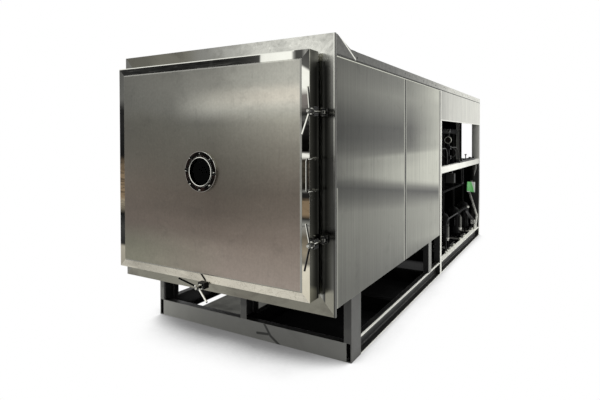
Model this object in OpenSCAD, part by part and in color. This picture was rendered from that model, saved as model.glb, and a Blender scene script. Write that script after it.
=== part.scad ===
// Box-chamber freeze dryer: a rectangular vacuum chamber with one side-hung
// door, clad in stainless sheet, on a channel-steel base that also carries the
// open machine bay behind the chamber.
// X runs to the right as one faces the door, Y runs to the rear, Z runs up.
// The origin is on the floor, under the middle of the overall box.

/* [Door] */
// Width of the door
door_w = 1600; // [1300:10:1900]
// Height of the door
door_h = 1444; // [1200:10:1700]
// Thickness of the door casing, front lip to back plate
door_t = 107; // [90:1:140]
// Height of the door's lower edge above the floor
door_z = 475; // [420:5:600]
// Width of the polished border round the raised panel
door_border = 50; // [40:1:70]
// How far the raised panel stands out of the border
panel_rise = 8; // [5:1:14]
// Thickness of the door's back plate
door_plate_t = 20; // [14:1:30]
// How far the door opens, degrees (for the rest pose only)
door_angle = 0; // [0:5:120]

/* [Sight glass] */
// Outside diameter of the sight-glass flange
sight_d = 264; // [220:2:320]
// Clear diameter of the glass
sight_bore = 180; // [140:2:200]
// Number of cover bolts
sight_bolt_n = 8; // [6:1:12]
// Thickness of the cover ring
sight_cover_t = 14; // [10:1:20]

/* [Clamps and handle] */
// Diameter of the swing bolts
bolt_d = 16; // [12:1:22]
// Distance of a swing bolt's axis from the door's edge
clamp_off = 26; // [22:1:36]
// Length of one bar of a hand nut
bar_len = 143; // [110:1:180]
// Diameter of the hand-nut bars
bar_d = 12; // [8:1:16]
// Forward lean of the hand-nut bars, degrees
bar_lean = 22; // [10:1:30]
// Distance between the door handle's legs
handle_len = 183; // [140:1:240]
// Diameter of the door handle's rod
handle_d = 12; // [8:1:16]
// How far the grip stands in front of the door
handle_reach = 58; // [50:1:80]

/* [Fascia] */
// Distance from the door's front to the fascia's front
fascia_back = 138; // [130:1:180]
// Fascia margin beyond the door at each side
fascia_side = 96; // [80:1:140]
// Fascia margin above the door
fascia_over = 107; // [80:1:140]
// Fascia margin below the door
fascia_under = 112; // [80:1:120]

/* [Cabinet] */
// How far the roof lies below the fascia's top edge
roof_drop = 65; // [30:1:100]
// Height of the trim strips along the roof edges
trim_h = 60; // [40:1:80]
// Height of the side panels' lower edge above the floor
cab_bottom = 411; // [380:1:440]
// Length of the front side panels, behind the fascia
panel1_len = 1280; // [1100:10:1400]
// Length of the middle side panels
panel2_len = 1150; // [1000:10:1300]
// Length of the machine bay
bay_len = 2288; // [2100:10:2600]
// Sheet thickness of the cladding
skin_t = 1.5; // [1:0.5:3]

/* [Base] */
// Height of the base channels
beam_h = 120; // [100:5:160]
// Flange width of the base channels and posts
flange_w = 52; // [45:1:60]
// Web thickness of the base channels and posts
web_t = 7; // [5:0.5:9]
// Depth of the front corner posts
post_deep = 150; // [120:5:180]
// How far the cabinet's left side stands inside the fascia's left edge
left_inset = 112; // [0:1:150]

/* [Chamber] */
// Wall thickness of the vacuum chamber
wall_t = 8; // [6:1:14]
// Width of the polished sealing collar
collar_w = 50; // [40:1:70]
// Number of stiffening ribs along the chamber
rib_n = 8; // [5:1:10]
// Height of the stiffening ribs
rib_h = 60; // [50:1:64]
// Number of heating shelves
shelf_n = 10; // [6:1:12]
// Thickness of a heating shelf
shelf_t = 18; // [12:1:24]
// Number of cold-trap coil banks
coil_n = 4; // [2:1:5]

/* [Hidden] */

$fn = 48;
tiny = 0.01;

// Clearances
run_gap = 0.05;     // radial, pin or shaft in its bore
seat_gap = 0.3;     // soft part or bare running face
panel_gap = 3;      // seam between cladding sheets
mitre_gap = 0.4;    // seam between the fascia's mitred strips
weld = 0.2;         // root gap between members that are joined by a weld

// Fore-and-aft stations, each measured from the door's front
hub_len = 36;
washer_t = 5;
clamp_slack = 1.2;  // washer off its lug while the nut is not pulled down
lug_front = 20;     // how far a fork lug stands in front of the door
lug_len = 48;
hub_mid = lug_front + clamp_slack + washer_t + hub_len/2;
front_reach = hub_mid + bar_len*sin(bar_lean) + bar_d/2*cos(bar_lean);
body_len = fascia_back + 18 + panel1_len + panel2_len + bay_len + panel_gap;
door_front = round((front_reach - body_len)/2);
function at(d) = door_front + d;
rear = at(body_len);

// Door and fascia
door_top = door_z + door_h;
door_mid = door_z + door_h/2;
casing_t = 3;
fascia_w = door_w + 2*fascia_side;
fascia_top = door_top + fascia_over;
fascia_bottom = door_z - fascia_under;
fascia_t = 3;
fascia_lip = 12;
cab_top = fascia_top - roof_drop;
cab_right = fascia_w/2;
cab_left = -fascia_w/2 + left_inset;

// Cladding stations
skin_front = at(fascia_back + fascia_lip + 6);
seam1 = skin_front + panel1_len;
seam2 = seam1 + panel2_len;
trim_bottom = cab_top - trim_h;
lip = 14;
trim_set = 2;       // trim strips sit this far inside the side panels
header_h = 310;

// Chamber
collar_out_w = door_w - 2*door_border;
collar_out_h = door_h - 2*door_border;
in_w = collar_out_w - 2*collar_w;
in_h = collar_out_h - 2*collar_w;
in_floor = door_z + door_border + collar_w;
collar_face = at(door_t + 4);
collar_deep = 54;
shell_front = collar_face + collar_deep;
shell_back = seam2 - 110;
gasket_w = 12;
back_t = 12;
rib_w = 50;
rib_base = in_floor - wall_t - rib_h;
rib_top = in_floor + in_h + wall_t + rib_h;
rib_step = (shell_back - shell_front - 80 - rib_w)/(rib_n - 1);
function rib_y(i) = shell_front + 40 + i*rib_step;

// Base frame
base_right = cab_right - skin_t;
base_left = cab_left + skin_t;
beam_y = at(365);
side_web = flange_w - web_t;
mid_post_x = 26;
end_slot = 36;      // open slot between the front beam's end and the post's web
post2_y = at(2150);
post2_deep = 100;
bay_post = 60;
bay_y = seam2 + panel_gap/2;
rear_post_w = 98;
rail_h = 68;
rail_w = 40;
rail_z = 1036;
frame_tube = 60;
frame_top = cab_top - skin_t;
frame_rail_z = rib_top + 3;
frame_rail_h = frame_top - frame_rail_z;
frame_right = cab_right - lip;
frame_left = cab_left + lip;
cross_y = [at(1250), at(2150), at(3000), at(3700), at(4350)];

// Cradle under the chamber
cradle_cross_h = (rib_base - cab_bottom)/2;
cradle_rail_x = in_w/2 - 100;
// uprights stand midway between two ribs
upright_y = [for (i = [0.5, rib_n - 1.5]) round(rib_y(i) + rib_w/2 - frame_tube/2)];
cradle_y = [beam_y + 15, upright_y[0] + 90, post2_y + 20, upright_y[1]];

// Shelves
rack_tube = 40;
shelf_w = in_w - 200;
shelf_l = 1150;
shelf_y = shell_front + 60;
shelf_pitch = floor((in_h - 130)/shelf_n);
shelf_z0 = in_floor + 70;
runner_w = 30;
runner_h = 10;
manifold_y = shelf_y + shelf_l + 110;
manifold_d = 48;
manifold_x = shelf_w/2 - 60;
baffle_y = manifold_y + 60;

// Cold trap
tube_d = 25;
coil_rows = 10;
coil_pitch = 2*floor(in_h/(coil_rows + 2.4)/2);
coil_w = in_w - 300;
coil_y0 = baffle_y + 110;
coil_step = floor((shell_back - 90 - coil_y0)/max(coil_n - 1, 1));
coil_z0 = in_floor + 110;
support_x = coil_w/2 - 60;

// Clamps: [x, z, roll about the bolt axis, turn of the bars about the bolt]
eye_d = 34;
eye_t = bolt_d + 2;
pin_d = 14;
ear_t = 10;
bracket_t = 6;
eye_back = fascia_back - bracket_t - 3 - eye_d/2;
bolt_len = eye_back + hub_mid + hub_len/2 + 8;
washer_d = 38;
hub_d = bolt_d + 10;
clamp_x = door_w/2 + clamp_off;
clamp_bottom_z = door_z - clamp_off;
clamp_upper_z = door_z + 0.755*door_h;
clamp_lower_z = door_z + 0.237*door_h;

// Hinges
hinge_x = -door_w/2 - 35;
hinge_back = 60;
hinge_pin_d = 20;
knuckle_d = 40;
knuckle_h = 70;
hinge_z = [door_z + 0.17*door_h, door_z + 0.83*door_h];

// Sight glass stack, from the raised panel's face outwards
sight_face = -panel_rise;
sight_pad = 28;
glass_t = 12;
glass_d = sight_bore + 20;
sight_gasket_t = 2;
sight_pcd = (sight_d + sight_bore + 24)/2;
sight_bolt_d = 12;
neck_t = 8;
sight_turn = 5;

// Machine bay
rail_foot = 22;
rail_in = round((base_left + base_right)/2) - 20;
unit_z = beam_h + rail_foot + weld;
comp_x = round(base_right) - 160;
comp_y = [at(3344), at(3917), at(4490)];
comp_r = 76;
comp_h = 380;
riser_x = comp_x - comp_r - 55;
riser_top = 1490;
discharge_z = 760;
discharge_d = 28;
sep_x = comp_x - 320;
cond_r = 160;
pump_half = 210;
// pump, condenser and compressor row share what the base leaves between them
bay_free = base_right - base_left - 2*pump_half - 2*cond_r - 50 - 540;
pump_x = round(base_left + 0.295*bay_free) + pump_half;
cond_x = round(pump_x + pump_half + 0.1*bay_free) + cond_r + 25;
cond_z = unit_z + 220;
cond_y0 = at(2900);
cond_len = 1650;
pump_y = at(3200);
vac_z = 1290;
vac_d = 108;
gauge_d = 80;
gauge_x = round(base_right) - 105;
gauge_y = at(3391);
gauge_z = 1380;
gauge_depth = 26;
loop_r = 58;
tee_x = 26;
spindle_d = 5;
serv_x = round(base_right) - 45;
serv_z = 480;
hang_x = round(base_right) - 29;
tray_z = 1092;

// ---------- shared shapes ----------

// Box from one corner to the other
module block(lo, hi) {
    translate(lo) cube(hi - lo);
}

// Channel section: web on the Y axis, flanges towards +X, run along +Z
module channel(len, h, b, tw = web_t, tf = 9) {
    linear_extrude(len)
        polygon([[0, 0], [b, 0], [b, tf*0.7], [tw + 5, tf], [tw, tf + 5],
            [tw, h - tf - 5], [tw + 5, h - tf], [b, h - tf*0.7], [b, h], [0, h]]);
}

// Square or rectangular tube along +Z, open at the ends
module tube_z(w, d, len, t = 3) {
    difference() {
        cube([w, d, len]);
        translate([t, t, -1]) cube([w - 2*t, d - 2*t, len + 2]);
    }
}

// Rectangular tube along +Y
module tube_y(w, h, len, t = 3) {
    translate([0, len, 0]) rotate([90, 0, 0]) tube_z(w, h, len, t);
}

// Rectangular tube along +X
module tube_x(d, h, len, t = 3) {
    rotate([90, 0, 90]) tube_z(d, h, len, t);
}

// Mirror image for the left side
module side(s) {
    mirror([s < 0 ? 1 : 0, 0, 0]) children();
}

// Cylinder between two heights along Y, from y0 to y1, facing the front
module disc_y(d, y0, y1) {
    translate([0, y1, 0]) rotate([90, 0, 0]) cylinder(d = d, h = y1 - y0);
}

// Folded tray in the YZ plane: outer face at x = 0, lips towards -X
module tray(y0, y1, z0, z1, t = skin_t, l = lip) {
    difference() {
        block([-l, y0, z0], [0, y1, z1]);
        block([-l - 1, y0 + t, z0 + t], [-t, y1 - t, z1 - t]);
    }
}

// Rectangular ring in the XZ plane, thickness along Y
module ring_xz(w_out, h_out, w_in, h_in, y0, y1, z_mid) {
    difference() {
        block([-w_out/2, y0, z_mid - h_out/2], [w_out/2, y1, z_mid + h_out/2]);
        block([-w_in/2, y0 - 1, z_mid - h_in/2], [w_in/2, y1 + 1, z_mid + h_in/2]);
    }
}

// Quarter bend of a round rod, centre at the origin, from +X towards +Y
module bend(r, d, a = 90) {
    rotate_extrude(angle = a) translate([r, 0]) circle(d = d);
}

// Round rod along +Y with flat ends
module rod_y(d, len) {
    rotate([-90, 0, 0]) cylinder(d = d, h = len);
}

// Round rod along +X with flat ends
module rod_x(d, len) {
    rotate([0, 90, 0]) cylinder(d = d, h = len);
}

// ---------- base and frame ----------

module front_beam_bar(y, x0, x1, facing = 1) {
    translate([x0, y, 0]) mirror([0, facing > 0 ? 0 : 1, 0])
        rotate([90, 0, 90]) channel(x1 - x0, beam_h, flange_w);
}

module side_beam_bar(y0, y1, x_out, s) {
    translate([x_out, y1, 0]) mirror([s > 0 ? 0 : 1, 0, 0])
        translate([-flange_w, 0, 0]) rotate([90, 0, 0]) channel(y1 - y0, beam_h, flange_w);
}

module base_beams() {
    color("dimgray") {
        front_beam_bar(beam_y, base_left + end_slot, base_right - end_slot);
        front_beam_bar(rear, base_left + rear_post_w, base_right - rear_post_w, -1);
        for (s = [1, -1]) {
            x_out = s > 0 ? base_right : base_left;
            side_beam_bar(beam_y + post_deep, bay_y - weld, x_out, s);
            side_beam_bar(bay_y + bay_post + weld, rear - bay_post - weld, x_out, s);
        }
    }
}

module cross_beams() {
    color("dimgray") {
        x0 = base_left + flange_w + weld;
        x1 = base_right - flange_w - weld;
        for (y = cross_y)
            front_beam_bar(y, x0, x1);
        // short stringers between neighbouring cross beams, on the centre line
        starts = concat([beam_y + flange_w], [for (y = cross_y) y + flange_w]);
        ends = concat(cross_y, [rear - flange_w]);
        mid = (base_left + base_right)/2;
        for (i = [0:len(starts) - 1])
            side_beam_bar(starts[i] + weld, ends[i] - weld, mid + flange_w/2, 1);
    }
}

// Corner post: a channel, web outwards; its front flange is cut away where the
// front beam passes
module corner_post() {
    difference() {
        channel(cab_bottom, post_deep, flange_w);
        translate([web_t, -1, -1]) cube([flange_w, 16, beam_h + 1]);
    }
    translate([web_t - 1, 2, 0]) cube([end_slot - web_t + 1 - seat_gap, 12, 6]);
}

module front_posts() {
    color("gray") {
        translate([base_left, beam_y, 0]) corner_post();
        translate([base_right, beam_y, 0]) mirror([1, 0, 0]) corner_post();
        translate([mid_post_x, beam_y, beam_h]) channel(cab_bottom - beam_h, post_deep, flange_w);
    }
}

module middle_posts() {
    color("gray") {
        translate([base_left, post2_y, beam_h]) channel(cab_bottom - beam_h, post2_deep, flange_w);
        translate([base_right, post2_y, beam_h]) mirror([1, 0, 0])
            channel(cab_bottom - beam_h, post2_deep, flange_w);
    }
}

module bay_frame() {
    color("silver") {
        len_y = rear - bay_post - bay_y - bay_post - 2*weld;
        len_x = base_right - base_left - 2*rear_post_w - 2*weld;
        for (x = [base_right - bay_post, base_left])
            translate([x, bay_y, 0]) tube_z(bay_post, bay_post, frame_rail_z);
        for (x = [base_right - rear_post_w, base_left])
            translate([x, rear - bay_post, 0]) tube_z(rear_post_w, bay_post, frame_rail_z);
        // side rails at mid height
        for (x = [base_left, base_right - rail_w])
            translate([x, bay_y + bay_post + weld, rail_z]) tube_y(rail_w, rail_h, len_y);
        // rear rails at mid height and under the roof
        for (z = [rail_z, frame_rail_z - rail_h])
            translate([base_left + rear_post_w + weld, rear - rail_w, z])
                tube_x(rail_w, rail_h, len_x);
        // stanchion in front of the upper rear panel
        translate([base_right - 318, rear - rail_w - skin_t - weld - 30, rail_z + 12])
            tube_z(50, 30, frame_rail_z - rail_z - 24);
        // cross rail at the front of the bay
        translate([base_left + bay_post + weld, bay_y + 10, rail_z])
            tube_x(rail_w, rail_h, base_right - base_left - 2*bay_post - 2*weld);
    }
}

// Square tubes that the cladding is screwed to
module panel_frame() {
    color("gray") {
        y0 = at(fascia_back + fascia_t);
        up_z = cab_bottom + cradle_cross_h;
        xl = frame_left;
        xr = frame_right - frame_tube;
        // top rails over the whole length, and a header between them in front
        for (x = [xl, xr])
            translate([x, y0, frame_rail_z]) tube_y(frame_tube, frame_rail_h, rear - y0);
        span = xr - xl - frame_tube - 2*weld;
        translate([xl + frame_tube + weld, y0, frame_rail_z]) tube_x(40, frame_rail_h, span);
        // uprights between the chamber's ribs, standing on the cradle
        for (y = upright_y, x = [xl, xr])
            translate([x, y, up_z]) tube_z(frame_tube, frame_tube, frame_rail_z - up_z - weld);
        // roof bearers
        for (y = [seam1 - 40, seam2 - 40, rear - frame_tube])
            translate([xl + frame_tube + weld, y, frame_top - 30])
                tube_x(frame_tube, 30, span, 2.5);
    }
}

module chamber_cradle() {
    color("dimgray") {
        z1 = cab_bottom + cradle_cross_h;
        for (y = cradle_y)
            translate([frame_left, y, cab_bottom])
                tube_x(frame_tube, cradle_cross_h, frame_right - frame_left, 4);
        for (x = [-cradle_rail_x - frame_tube/2, cradle_rail_x - frame_tube/2])
            translate([x, cradle_y[0], z1 + weld])
                tube_y(frame_tube, cradle_cross_h - weld, cradle_y[3] + frame_tube - cradle_y[0], 4);
    }
}

// ---------- chamber ----------

module chamber_shell() {
    color("lightgray") {
        w = in_w/2;
        z0 = in_floor;
        z1 = in_floor + in_h;
        y1 = shell_back - weld;
        block([-w - wall_t, shell_front, z0 - wall_t], [w + wall_t, y1, z0 - weld]);
        block([-w - wall_t, shell_front, z1 + weld], [w + wall_t, y1, z1 + wall_t]);
        block([-w - wall_t, shell_front, z0], [-w, y1, z1]);
        block([w, shell_front, z0], [w + wall_t, y1, z1]);
        block([-w - wall_t, shell_back, z0 - wall_t],
            [w + wall_t, shell_back + back_t, z1 + wall_t]);
    }
}

// One rib bar: a hat of flat sheet, open towards the shell, run along +Z
module rib_bar(len) {
    linear_extrude(len)
        polygon([[0, 0], [rib_h, 0], [rib_h, rib_w], [0, rib_w],
            [0, rib_w - 5], [rib_h - 5, rib_w - 5], [rib_h - 5, 5], [0, 5]]);
}

module chamber_ribs() {
    color("gray") {
        w = in_w/2 + wall_t;
        z0 = in_floor - wall_t;
        z1 = in_floor + in_h + wall_t;
        for (i = [0:rib_n - 1]) {
            y = rib_y(i);
            for (s = [1, -1])
                side(s) translate([w, y, z0 + weld]) rib_bar(z1 - z0 - 2*weld);
            translate([-w - rib_h, y, z1]) rotate([0, -90, 180])
                translate([0, -rib_w, 0]) rib_bar(2*(w + rib_h));
            translate([-w - rib_h, y, z0]) mirror([0, 0, 1]) rotate([0, -90, 180])
                translate([0, -rib_w, 0]) rib_bar(2*(w + rib_h));
        }
    }
}

module chamber_collar() {
    h1 = collar_out_h/2;
    h0 = in_h/2;
    w1 = collar_out_w/2;
    w0 = in_w/2;
    y0 = collar_face;
    y1 = shell_front;
    color("lightgray") translate([0, 0, door_mid]) difference() {
        union() {
            for (s = [1, -1]) {
                mirror([0, 0, s > 0 ? 0 : 1]) block([-w1, y0, h0], [w1, y1, h1]);
                side(s) block([w0, y0, -h0 + weld], [w1, y1, h0 - weld]);
            }
        }
        translate([0, 0, -door_mid]) gasket_ring(0.3, y0 - 1, y0 + 4);
    }
}

// Rectangular ring that the seal and its groove share
module gasket_ring(gap, y0, y1) {
    w = collar_out_w - collar_w;
    h = collar_out_h - collar_w;
    ring_xz(w + gasket_w + 2*gap, h + gasket_w + 2*gap,
        w - gasket_w - 2*gap, h - gasket_w - 2*gap, y0, y1, door_mid);
}

module door_gasket() {
    color("black") gasket_ring(0, at(door_t) + seat_gap, collar_face + 4);
}

module shelf_rack() {
    color("silver") {
        z1 = shelf_z0 + shelf_n*shelf_pitch - 20;
        x0 = shelf_w/2 + 5;
        for (s = [1, -1]) side(s) {
            for (y = [shelf_y + 40, shelf_y + shelf_l - 40 - rack_tube])
                translate([x0 + weld, y, in_floor]) tube_z(rack_tube, rack_tube, z1 - in_floor - weld);
            for (i = [0:shelf_n - 1])
                block([x0 - runner_w, shelf_y, shelf_z0 + i*shelf_pitch - runner_h],
                    [x0, shelf_y + shelf_l, shelf_z0 + i*shelf_pitch]);
        }
        for (y = [shelf_y + 40, shelf_y + shelf_l - 40 - rack_tube])
            translate([-x0 - rack_tube, y, z1]) tube_x(rack_tube, 30, 2*(x0 + rack_tube));
    }
}

module heating_shelves() {
    color("gainsboro")
        for (i = [0:shelf_n - 1])
            block([-shelf_w/2, shelf_y, shelf_z0 + i*shelf_pitch],
                [shelf_w/2, shelf_y + shelf_l, shelf_z0 + i*shelf_pitch + shelf_t]);
}

module shelf_manifolds() {
    color("silver") for (s = [1, -1]) side(s) {
        translate([manifold_x, manifold_y, in_floor]) cylinder(d = manifold_d, h = in_h - 60);
        // a short socket for each shelf's hose
        for (i = [0:shelf_n - 1])
            translate([manifold_x, manifold_y - manifold_d/2 - 12, shelf_z0 + i*shelf_pitch + shelf_t/2])
                rod_y(20, manifold_d/2 + 12);
        // tail that leaves the chamber low in its back wall
        translate([manifold_x, manifold_y, in_floor + 40])
            rod_y(manifold_d - 6, shell_back - manifold_y);
    }
}

module shelf_hoses() {
    color("lightgray") for (s = [1, -1], i = [0:shelf_n - 1]) side(s) {
        x = manifold_x;
        z = shelf_z0 + i*shelf_pitch + shelf_t/2;
        y0 = shelf_y + shelf_l;
        y1 = manifold_y - manifold_d/2 - 12;
        translate([x, y0, z]) {
            rod_y(14, y1 - y0);
            rod_y(18, 14);
            translate([0, y1 - y0 - 14, 0]) rod_y(18, 14);
        }
    }
}

module trap_baffle() {
    color("lightgray") difference() {
        block([-in_w/2 + 60, baffle_y, in_floor], [in_w/2 - 60, baffle_y + 3, in_floor + in_h]);
        for (i = [-3:3], z = [0:4])
            block([i*170 - 50, baffle_y - 1, in_floor + 90 + z*(in_h - 120)/5],
                [i*170 + 50, baffle_y + 4, in_floor + 90 + z*(in_h - 120)/5 + 150]);
        // notches over the manifold tails
        for (s = [1, -1])
            block([s*manifold_x - 28, baffle_y - 1, in_floor - 1],
                [s*manifold_x + 28, baffle_y + 4, in_floor + 72]);
    }
}

// One serpentine bank: straight tubes along X, joined by socketed return bends
module coil_bank() {
    for (r = [0:coil_rows - 1])
        translate([-coil_w/2 - 6, 0, coil_z0 + r*coil_pitch]) rod_x(tube_d, coil_w + 12);
    for (r = [0:coil_rows - 2])
        translate([(r % 2 == 0 ? 1 : -1)*coil_w/2, 0, coil_z0 + (r + 0.5)*coil_pitch])
            rotate([90, 0, 0]) rotate([0, 0, r % 2 == 0 ? -90 : 90])
                bend(coil_pitch/2, tube_d + 3, 180);
}

module cold_trap_coils() {
    color("silver") for (i = [0:coil_n - 1])
        translate([0, coil_y0 + i*coil_step, 0]) coil_bank();
}

module coil_supports() {
    color("gray") for (s = [1, -1]) side(s) difference() {
        block([support_x, coil_y0 - 60, in_floor],
            [support_x + 6, coil_y0 + (coil_n - 1)*coil_step + 60, in_floor + in_h - 60]);
        for (i = [0:coil_n - 1], r = [0:coil_rows - 1])
            translate([support_x - 1, coil_y0 + i*coil_step, coil_z0 + r*coil_pitch])
                rod_x(tube_d + 0.6, 8);
    }
}

// ---------- fascia and cladding ----------

// Corner points of the fascia ring, outside and inside, anticlockwise
function fascia_outer() = [[-fascia_w/2, fascia_bottom], [fascia_w/2, fascia_bottom],
    [fascia_w/2, fascia_top], [-fascia_w/2, fascia_top]];
function fascia_inner() = [for (p = [[-1, -1], [1, -1], [1, 1], [-1, 1]])
    [p[0]*collar_out_w/2, door_mid + p[1]*collar_out_h/2]];

// The whole fascia as one folded ring, before it is cut into four strips
module fascia_ring() {
    y0 = at(fascia_back);
    zm = (fascia_top + fascia_bottom)/2;
    fh = fascia_top - fascia_bottom;
    difference() {
        block([-fascia_w/2, y0, fascia_bottom], [fascia_w/2, y0 + fascia_t, fascia_top]);
        block([-collar_out_w/2, y0 - 1, door_mid - collar_out_h/2],
            [collar_out_w/2, y0 + fascia_t + 1, door_mid + collar_out_h/2]);
    }
    ring_xz(fascia_w, fh, fascia_w - 2*fascia_t, fh - 2*fascia_t, y0, y0 + fascia_lip, zm);
    ring_xz(collar_out_w + 2*fascia_t, collar_out_h + 2*fascia_t, collar_out_w, collar_out_h,
        y0, y0 + 24, door_mid);
}

// Strip number i is what lies between two mitre lines
module fascia_frame() {
    color("lightgray") for (i = [0:3]) intersection() {
        fascia_ring();
        translate([0, at(fascia_back) + 60, 0]) rotate([90, 0, 0]) linear_extrude(120)
            strip_outline(i);
    }
}

module strip_outline(i) {
    o = fascia_outer();
    n = fascia_inner();
    j = (i + 1) % 4;
    along = (o[j] - o[i])/norm(o[j] - o[i]);
    polygon([o[i] + along*mitre_gap/2, o[j] - along*mitre_gap/2,
        n[j] - along*mitre_gap/2, n[i] + along*mitre_gap/2]);
}

module side_panels(y0, y1) {
    translate([cab_right, 0, 0]) tray(y0, y1, cab_bottom, trim_bottom - panel_gap);
    translate([cab_left, 0, 0]) mirror([1, 0, 0])
        tray(y0, y1, cab_bottom, trim_bottom - panel_gap);
}

module side_panels_front() {
    color("lightgray") side_panels(skin_front, seam1 - panel_gap/2);
}

module side_panels_middle() {
    color("lightgray") side_panels(seam1 + panel_gap/2, seam2 - panel_gap/2);
}

// Flat sheet over the bay's posts with a stiffening lip between them
module header_sheet() {
    z1 = trim_bottom - panel_gap;
    block([-skin_t, seam2 + panel_gap/2, z1 - header_h], [0, rear, z1]);
    block([-lip, bay_y + bay_post + 2, z1 - header_h], [0, rear - bay_post - 2, z1 - header_h + skin_t]);
}

module bay_headers() {
    color("lightgray") {
        translate([cab_right, 0, 0]) header_sheet();
        translate([cab_left, 0, 0]) mirror([1, 0, 0]) header_sheet();
    }
}

// Triangular plate that closes the step between fascia and roof
module cheek() {
    y0 = at(fascia_back + fascia_lip);
    rotate([90, 0, 90]) linear_extrude(trim_set)
        polygon([[y0, cab_top + 0.5], [y0, fascia_top - 4], [y0 + 16, fascia_top - 4],
            [y0 + 200, cab_top + 0.5]]);
    rotate([90, 0, 90]) linear_extrude(trim_set)
        block2([y0, trim_bottom + 2], [y0 + 281, cab_top + 1]);
}

module block2(lo, hi) {
    translate(lo) square(hi - lo);
}

module trim_strips() {
    color("silver") {
        y0 = at(fascia_back + fascia_lip);
        l = lip - trim_set;
        difference() {
            union() {
                translate([cab_right - trim_set, 0, 0]) {
                    tray(y0, rear, trim_bottom, cab_top, skin_t, l);
                    cheek();
                }
                translate([cab_left + trim_set, 0, 0]) mirror([1, 0, 0]) {
                    tray(y0, rear, trim_bottom, cab_top, skin_t, l);
                    cheek();
                }
            }
            at_screws() translate([-5, 0, 0]) rod_x(screw_d, 10);
        }
    }
}

screw_d = 4;
screw_pitch = 420;

// Every place along the trim strips that takes a screw, head side to +X
module at_screws() {
    for (i = [0:floor((rear - seam1)/screw_pitch) - 1]) {
        y = seam1 + 120 + i*screw_pitch;
        translate([cab_right - trim_set, y, (trim_bottom + cab_top)/2]) children();
        translate([cab_left + trim_set, y, (trim_bottom + cab_top)/2])
            mirror([1, 0, 0]) children();
    }
}

module roof_sheet(y0, y1) {
    x0 = cab_left + lip + seat_gap;
    x1 = cab_right - lip - seat_gap;
    xm = (x0 + x1)/2;
    block([x0, y0, cab_top - skin_t], [x1, y1, cab_top]);
    // stiffening fold along the middle
    block([xm, y0 + 90, cab_top - skin_t - 12], [xm + skin_t, y1 - 70, cab_top - skin_t]);
}

module roof_panels() {
    color("lightgray") {
        roof_sheet(at(fascia_back + fascia_lip), seam1 - panel_gap/2);
        roof_sheet(seam1 + panel_gap/2, seam2 - panel_gap/2);
        roof_sheet(seam2 + panel_gap/2, rear);
    }
}

// Sheets on the inside of the rear rails; the upper one stops short on the
// right, where its edge is folded forward
module rear_panels() {
    color("dimgray") {
        y1 = rear - rail_w;
        x0 = base_left + rear_post_w + 2;
        edge = base_right - 244;
        block([x0, y1 - skin_t, rail_z + 8], [edge, y1, frame_rail_z - 8]);
        block([edge - skin_t, y1 - 60, rail_z + rail_h + 4], [edge, y1, frame_rail_z - rail_h - 4]);
        block([x0, y1 - skin_t, beam_h + 3], [base_right - rear_post_w - 2, y1, rail_z + 5]);
        block([x0, y1 - 24, beam_h + 3], [base_right - rear_post_w - 2, y1, beam_h + 3 + skin_t]);
    }
}

// Pan-head screws along the trim strips
module panel_screws() {
    color("dimgray") at_screws() {
        rod_x(9, 1.8);
        translate([-skin_t, 0, 0]) rod_x(screw_d, skin_t + 1);
    }
}

// ---------- door ----------

// Everything on the door is drawn shut, then turned about the hinge pins
module on_door() {
    translate([hinge_x, at(hinge_back), 0]) rotate([0, 0, -door_angle])
        translate([-hinge_x, -at(hinge_back), 0]) children();
}

module door_casing() {
    color("lightgray") on_door() difference() {
        block([-door_w/2, at(0), door_z], [door_w/2, at(door_t), door_top]);
        block([-door_w/2 + casing_t, at(casing_t), door_z + casing_t],
            [door_w/2 - casing_t, at(door_t + 1), door_top - casing_t]);
        block([-door_w/2 + door_border, at(-1), door_z + door_border],
            [door_w/2 - door_border, at(casing_t + 1), door_top - door_border]);
    }
}

module door_plate() {
    color("silver") on_door() difference() {
        block([-door_w/2 + casing_t, at(door_t - door_plate_t), door_z + casing_t],
            [door_w/2 - casing_t, at(door_t), door_top - casing_t]);
        translate([0, 0, door_mid])
            disc_y(sight_bore + 2*neck_t, at(door_t - door_plate_t - 1), at(door_t + 1));
    }
}

// Flat bars on edge between the raised panel and the back plate
module door_ribs() {
    color("gray") on_door() {
        y0 = at(casing_t + 4);
        y1 = at(door_t - door_plate_t);
        for (x = [-door_w/4, door_w/4])
            block([x - 5, y0, door_z + casing_t], [x + 5, y1, door_top - casing_t]);
        for (z = [door_z + door_h/4, door_z + 3*door_h/4]) {
            block([-door_w/2 + casing_t, y0, z - 5], [-door_w/4 - 5, y1, z + 5]);
            block([-door_w/4 + 5, y0, z - 5], [door_w/4 - 5, y1, z + 5]);
            block([door_w/4 + 5, y0, z - 5], [door_w/2 - casing_t, y1, z + 5]);
        }
    }
}

// Side view of the raised panel: a plate with bevelled edges
module bevel_outline(len) {
    r = panel_rise;
    polygon([[-len/2, casing_t + 4], [-len/2, 0], [-len/2 + r, -r],
        [len/2 - r, -r], [len/2, 0], [len/2, casing_t + 4]]);
}

module door_panel() {
    w = door_w - 2*door_border - 1;
    h = door_h - 2*door_border - 1;
    color("gainsboro") on_door() difference() {
        intersection() {
            translate([0, at(0), door_mid - h/2]) linear_extrude(h) bevel_outline(w);
            translate([-w/2, at(0), door_mid]) rotate([90, 0, 90])
                linear_extrude(w) rotate([0, 0, 90]) mirror([0, 1, 0]) bevel_outline(h);
        }
        translate([0, 0, door_mid])
            disc_y(sight_d + 1, at(-panel_rise - 1), at(casing_t + 5));
    }
}

// ---------- sight glass ----------

module sight_holes(d, y0, y1) {
    for (i = [0:sight_bolt_n - 1])
        rotate([0, i*360/sight_bolt_n + sight_turn, 0]) translate([sight_pcd/2, 0, 0]) disc_y(d, y0, y1);
}

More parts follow.
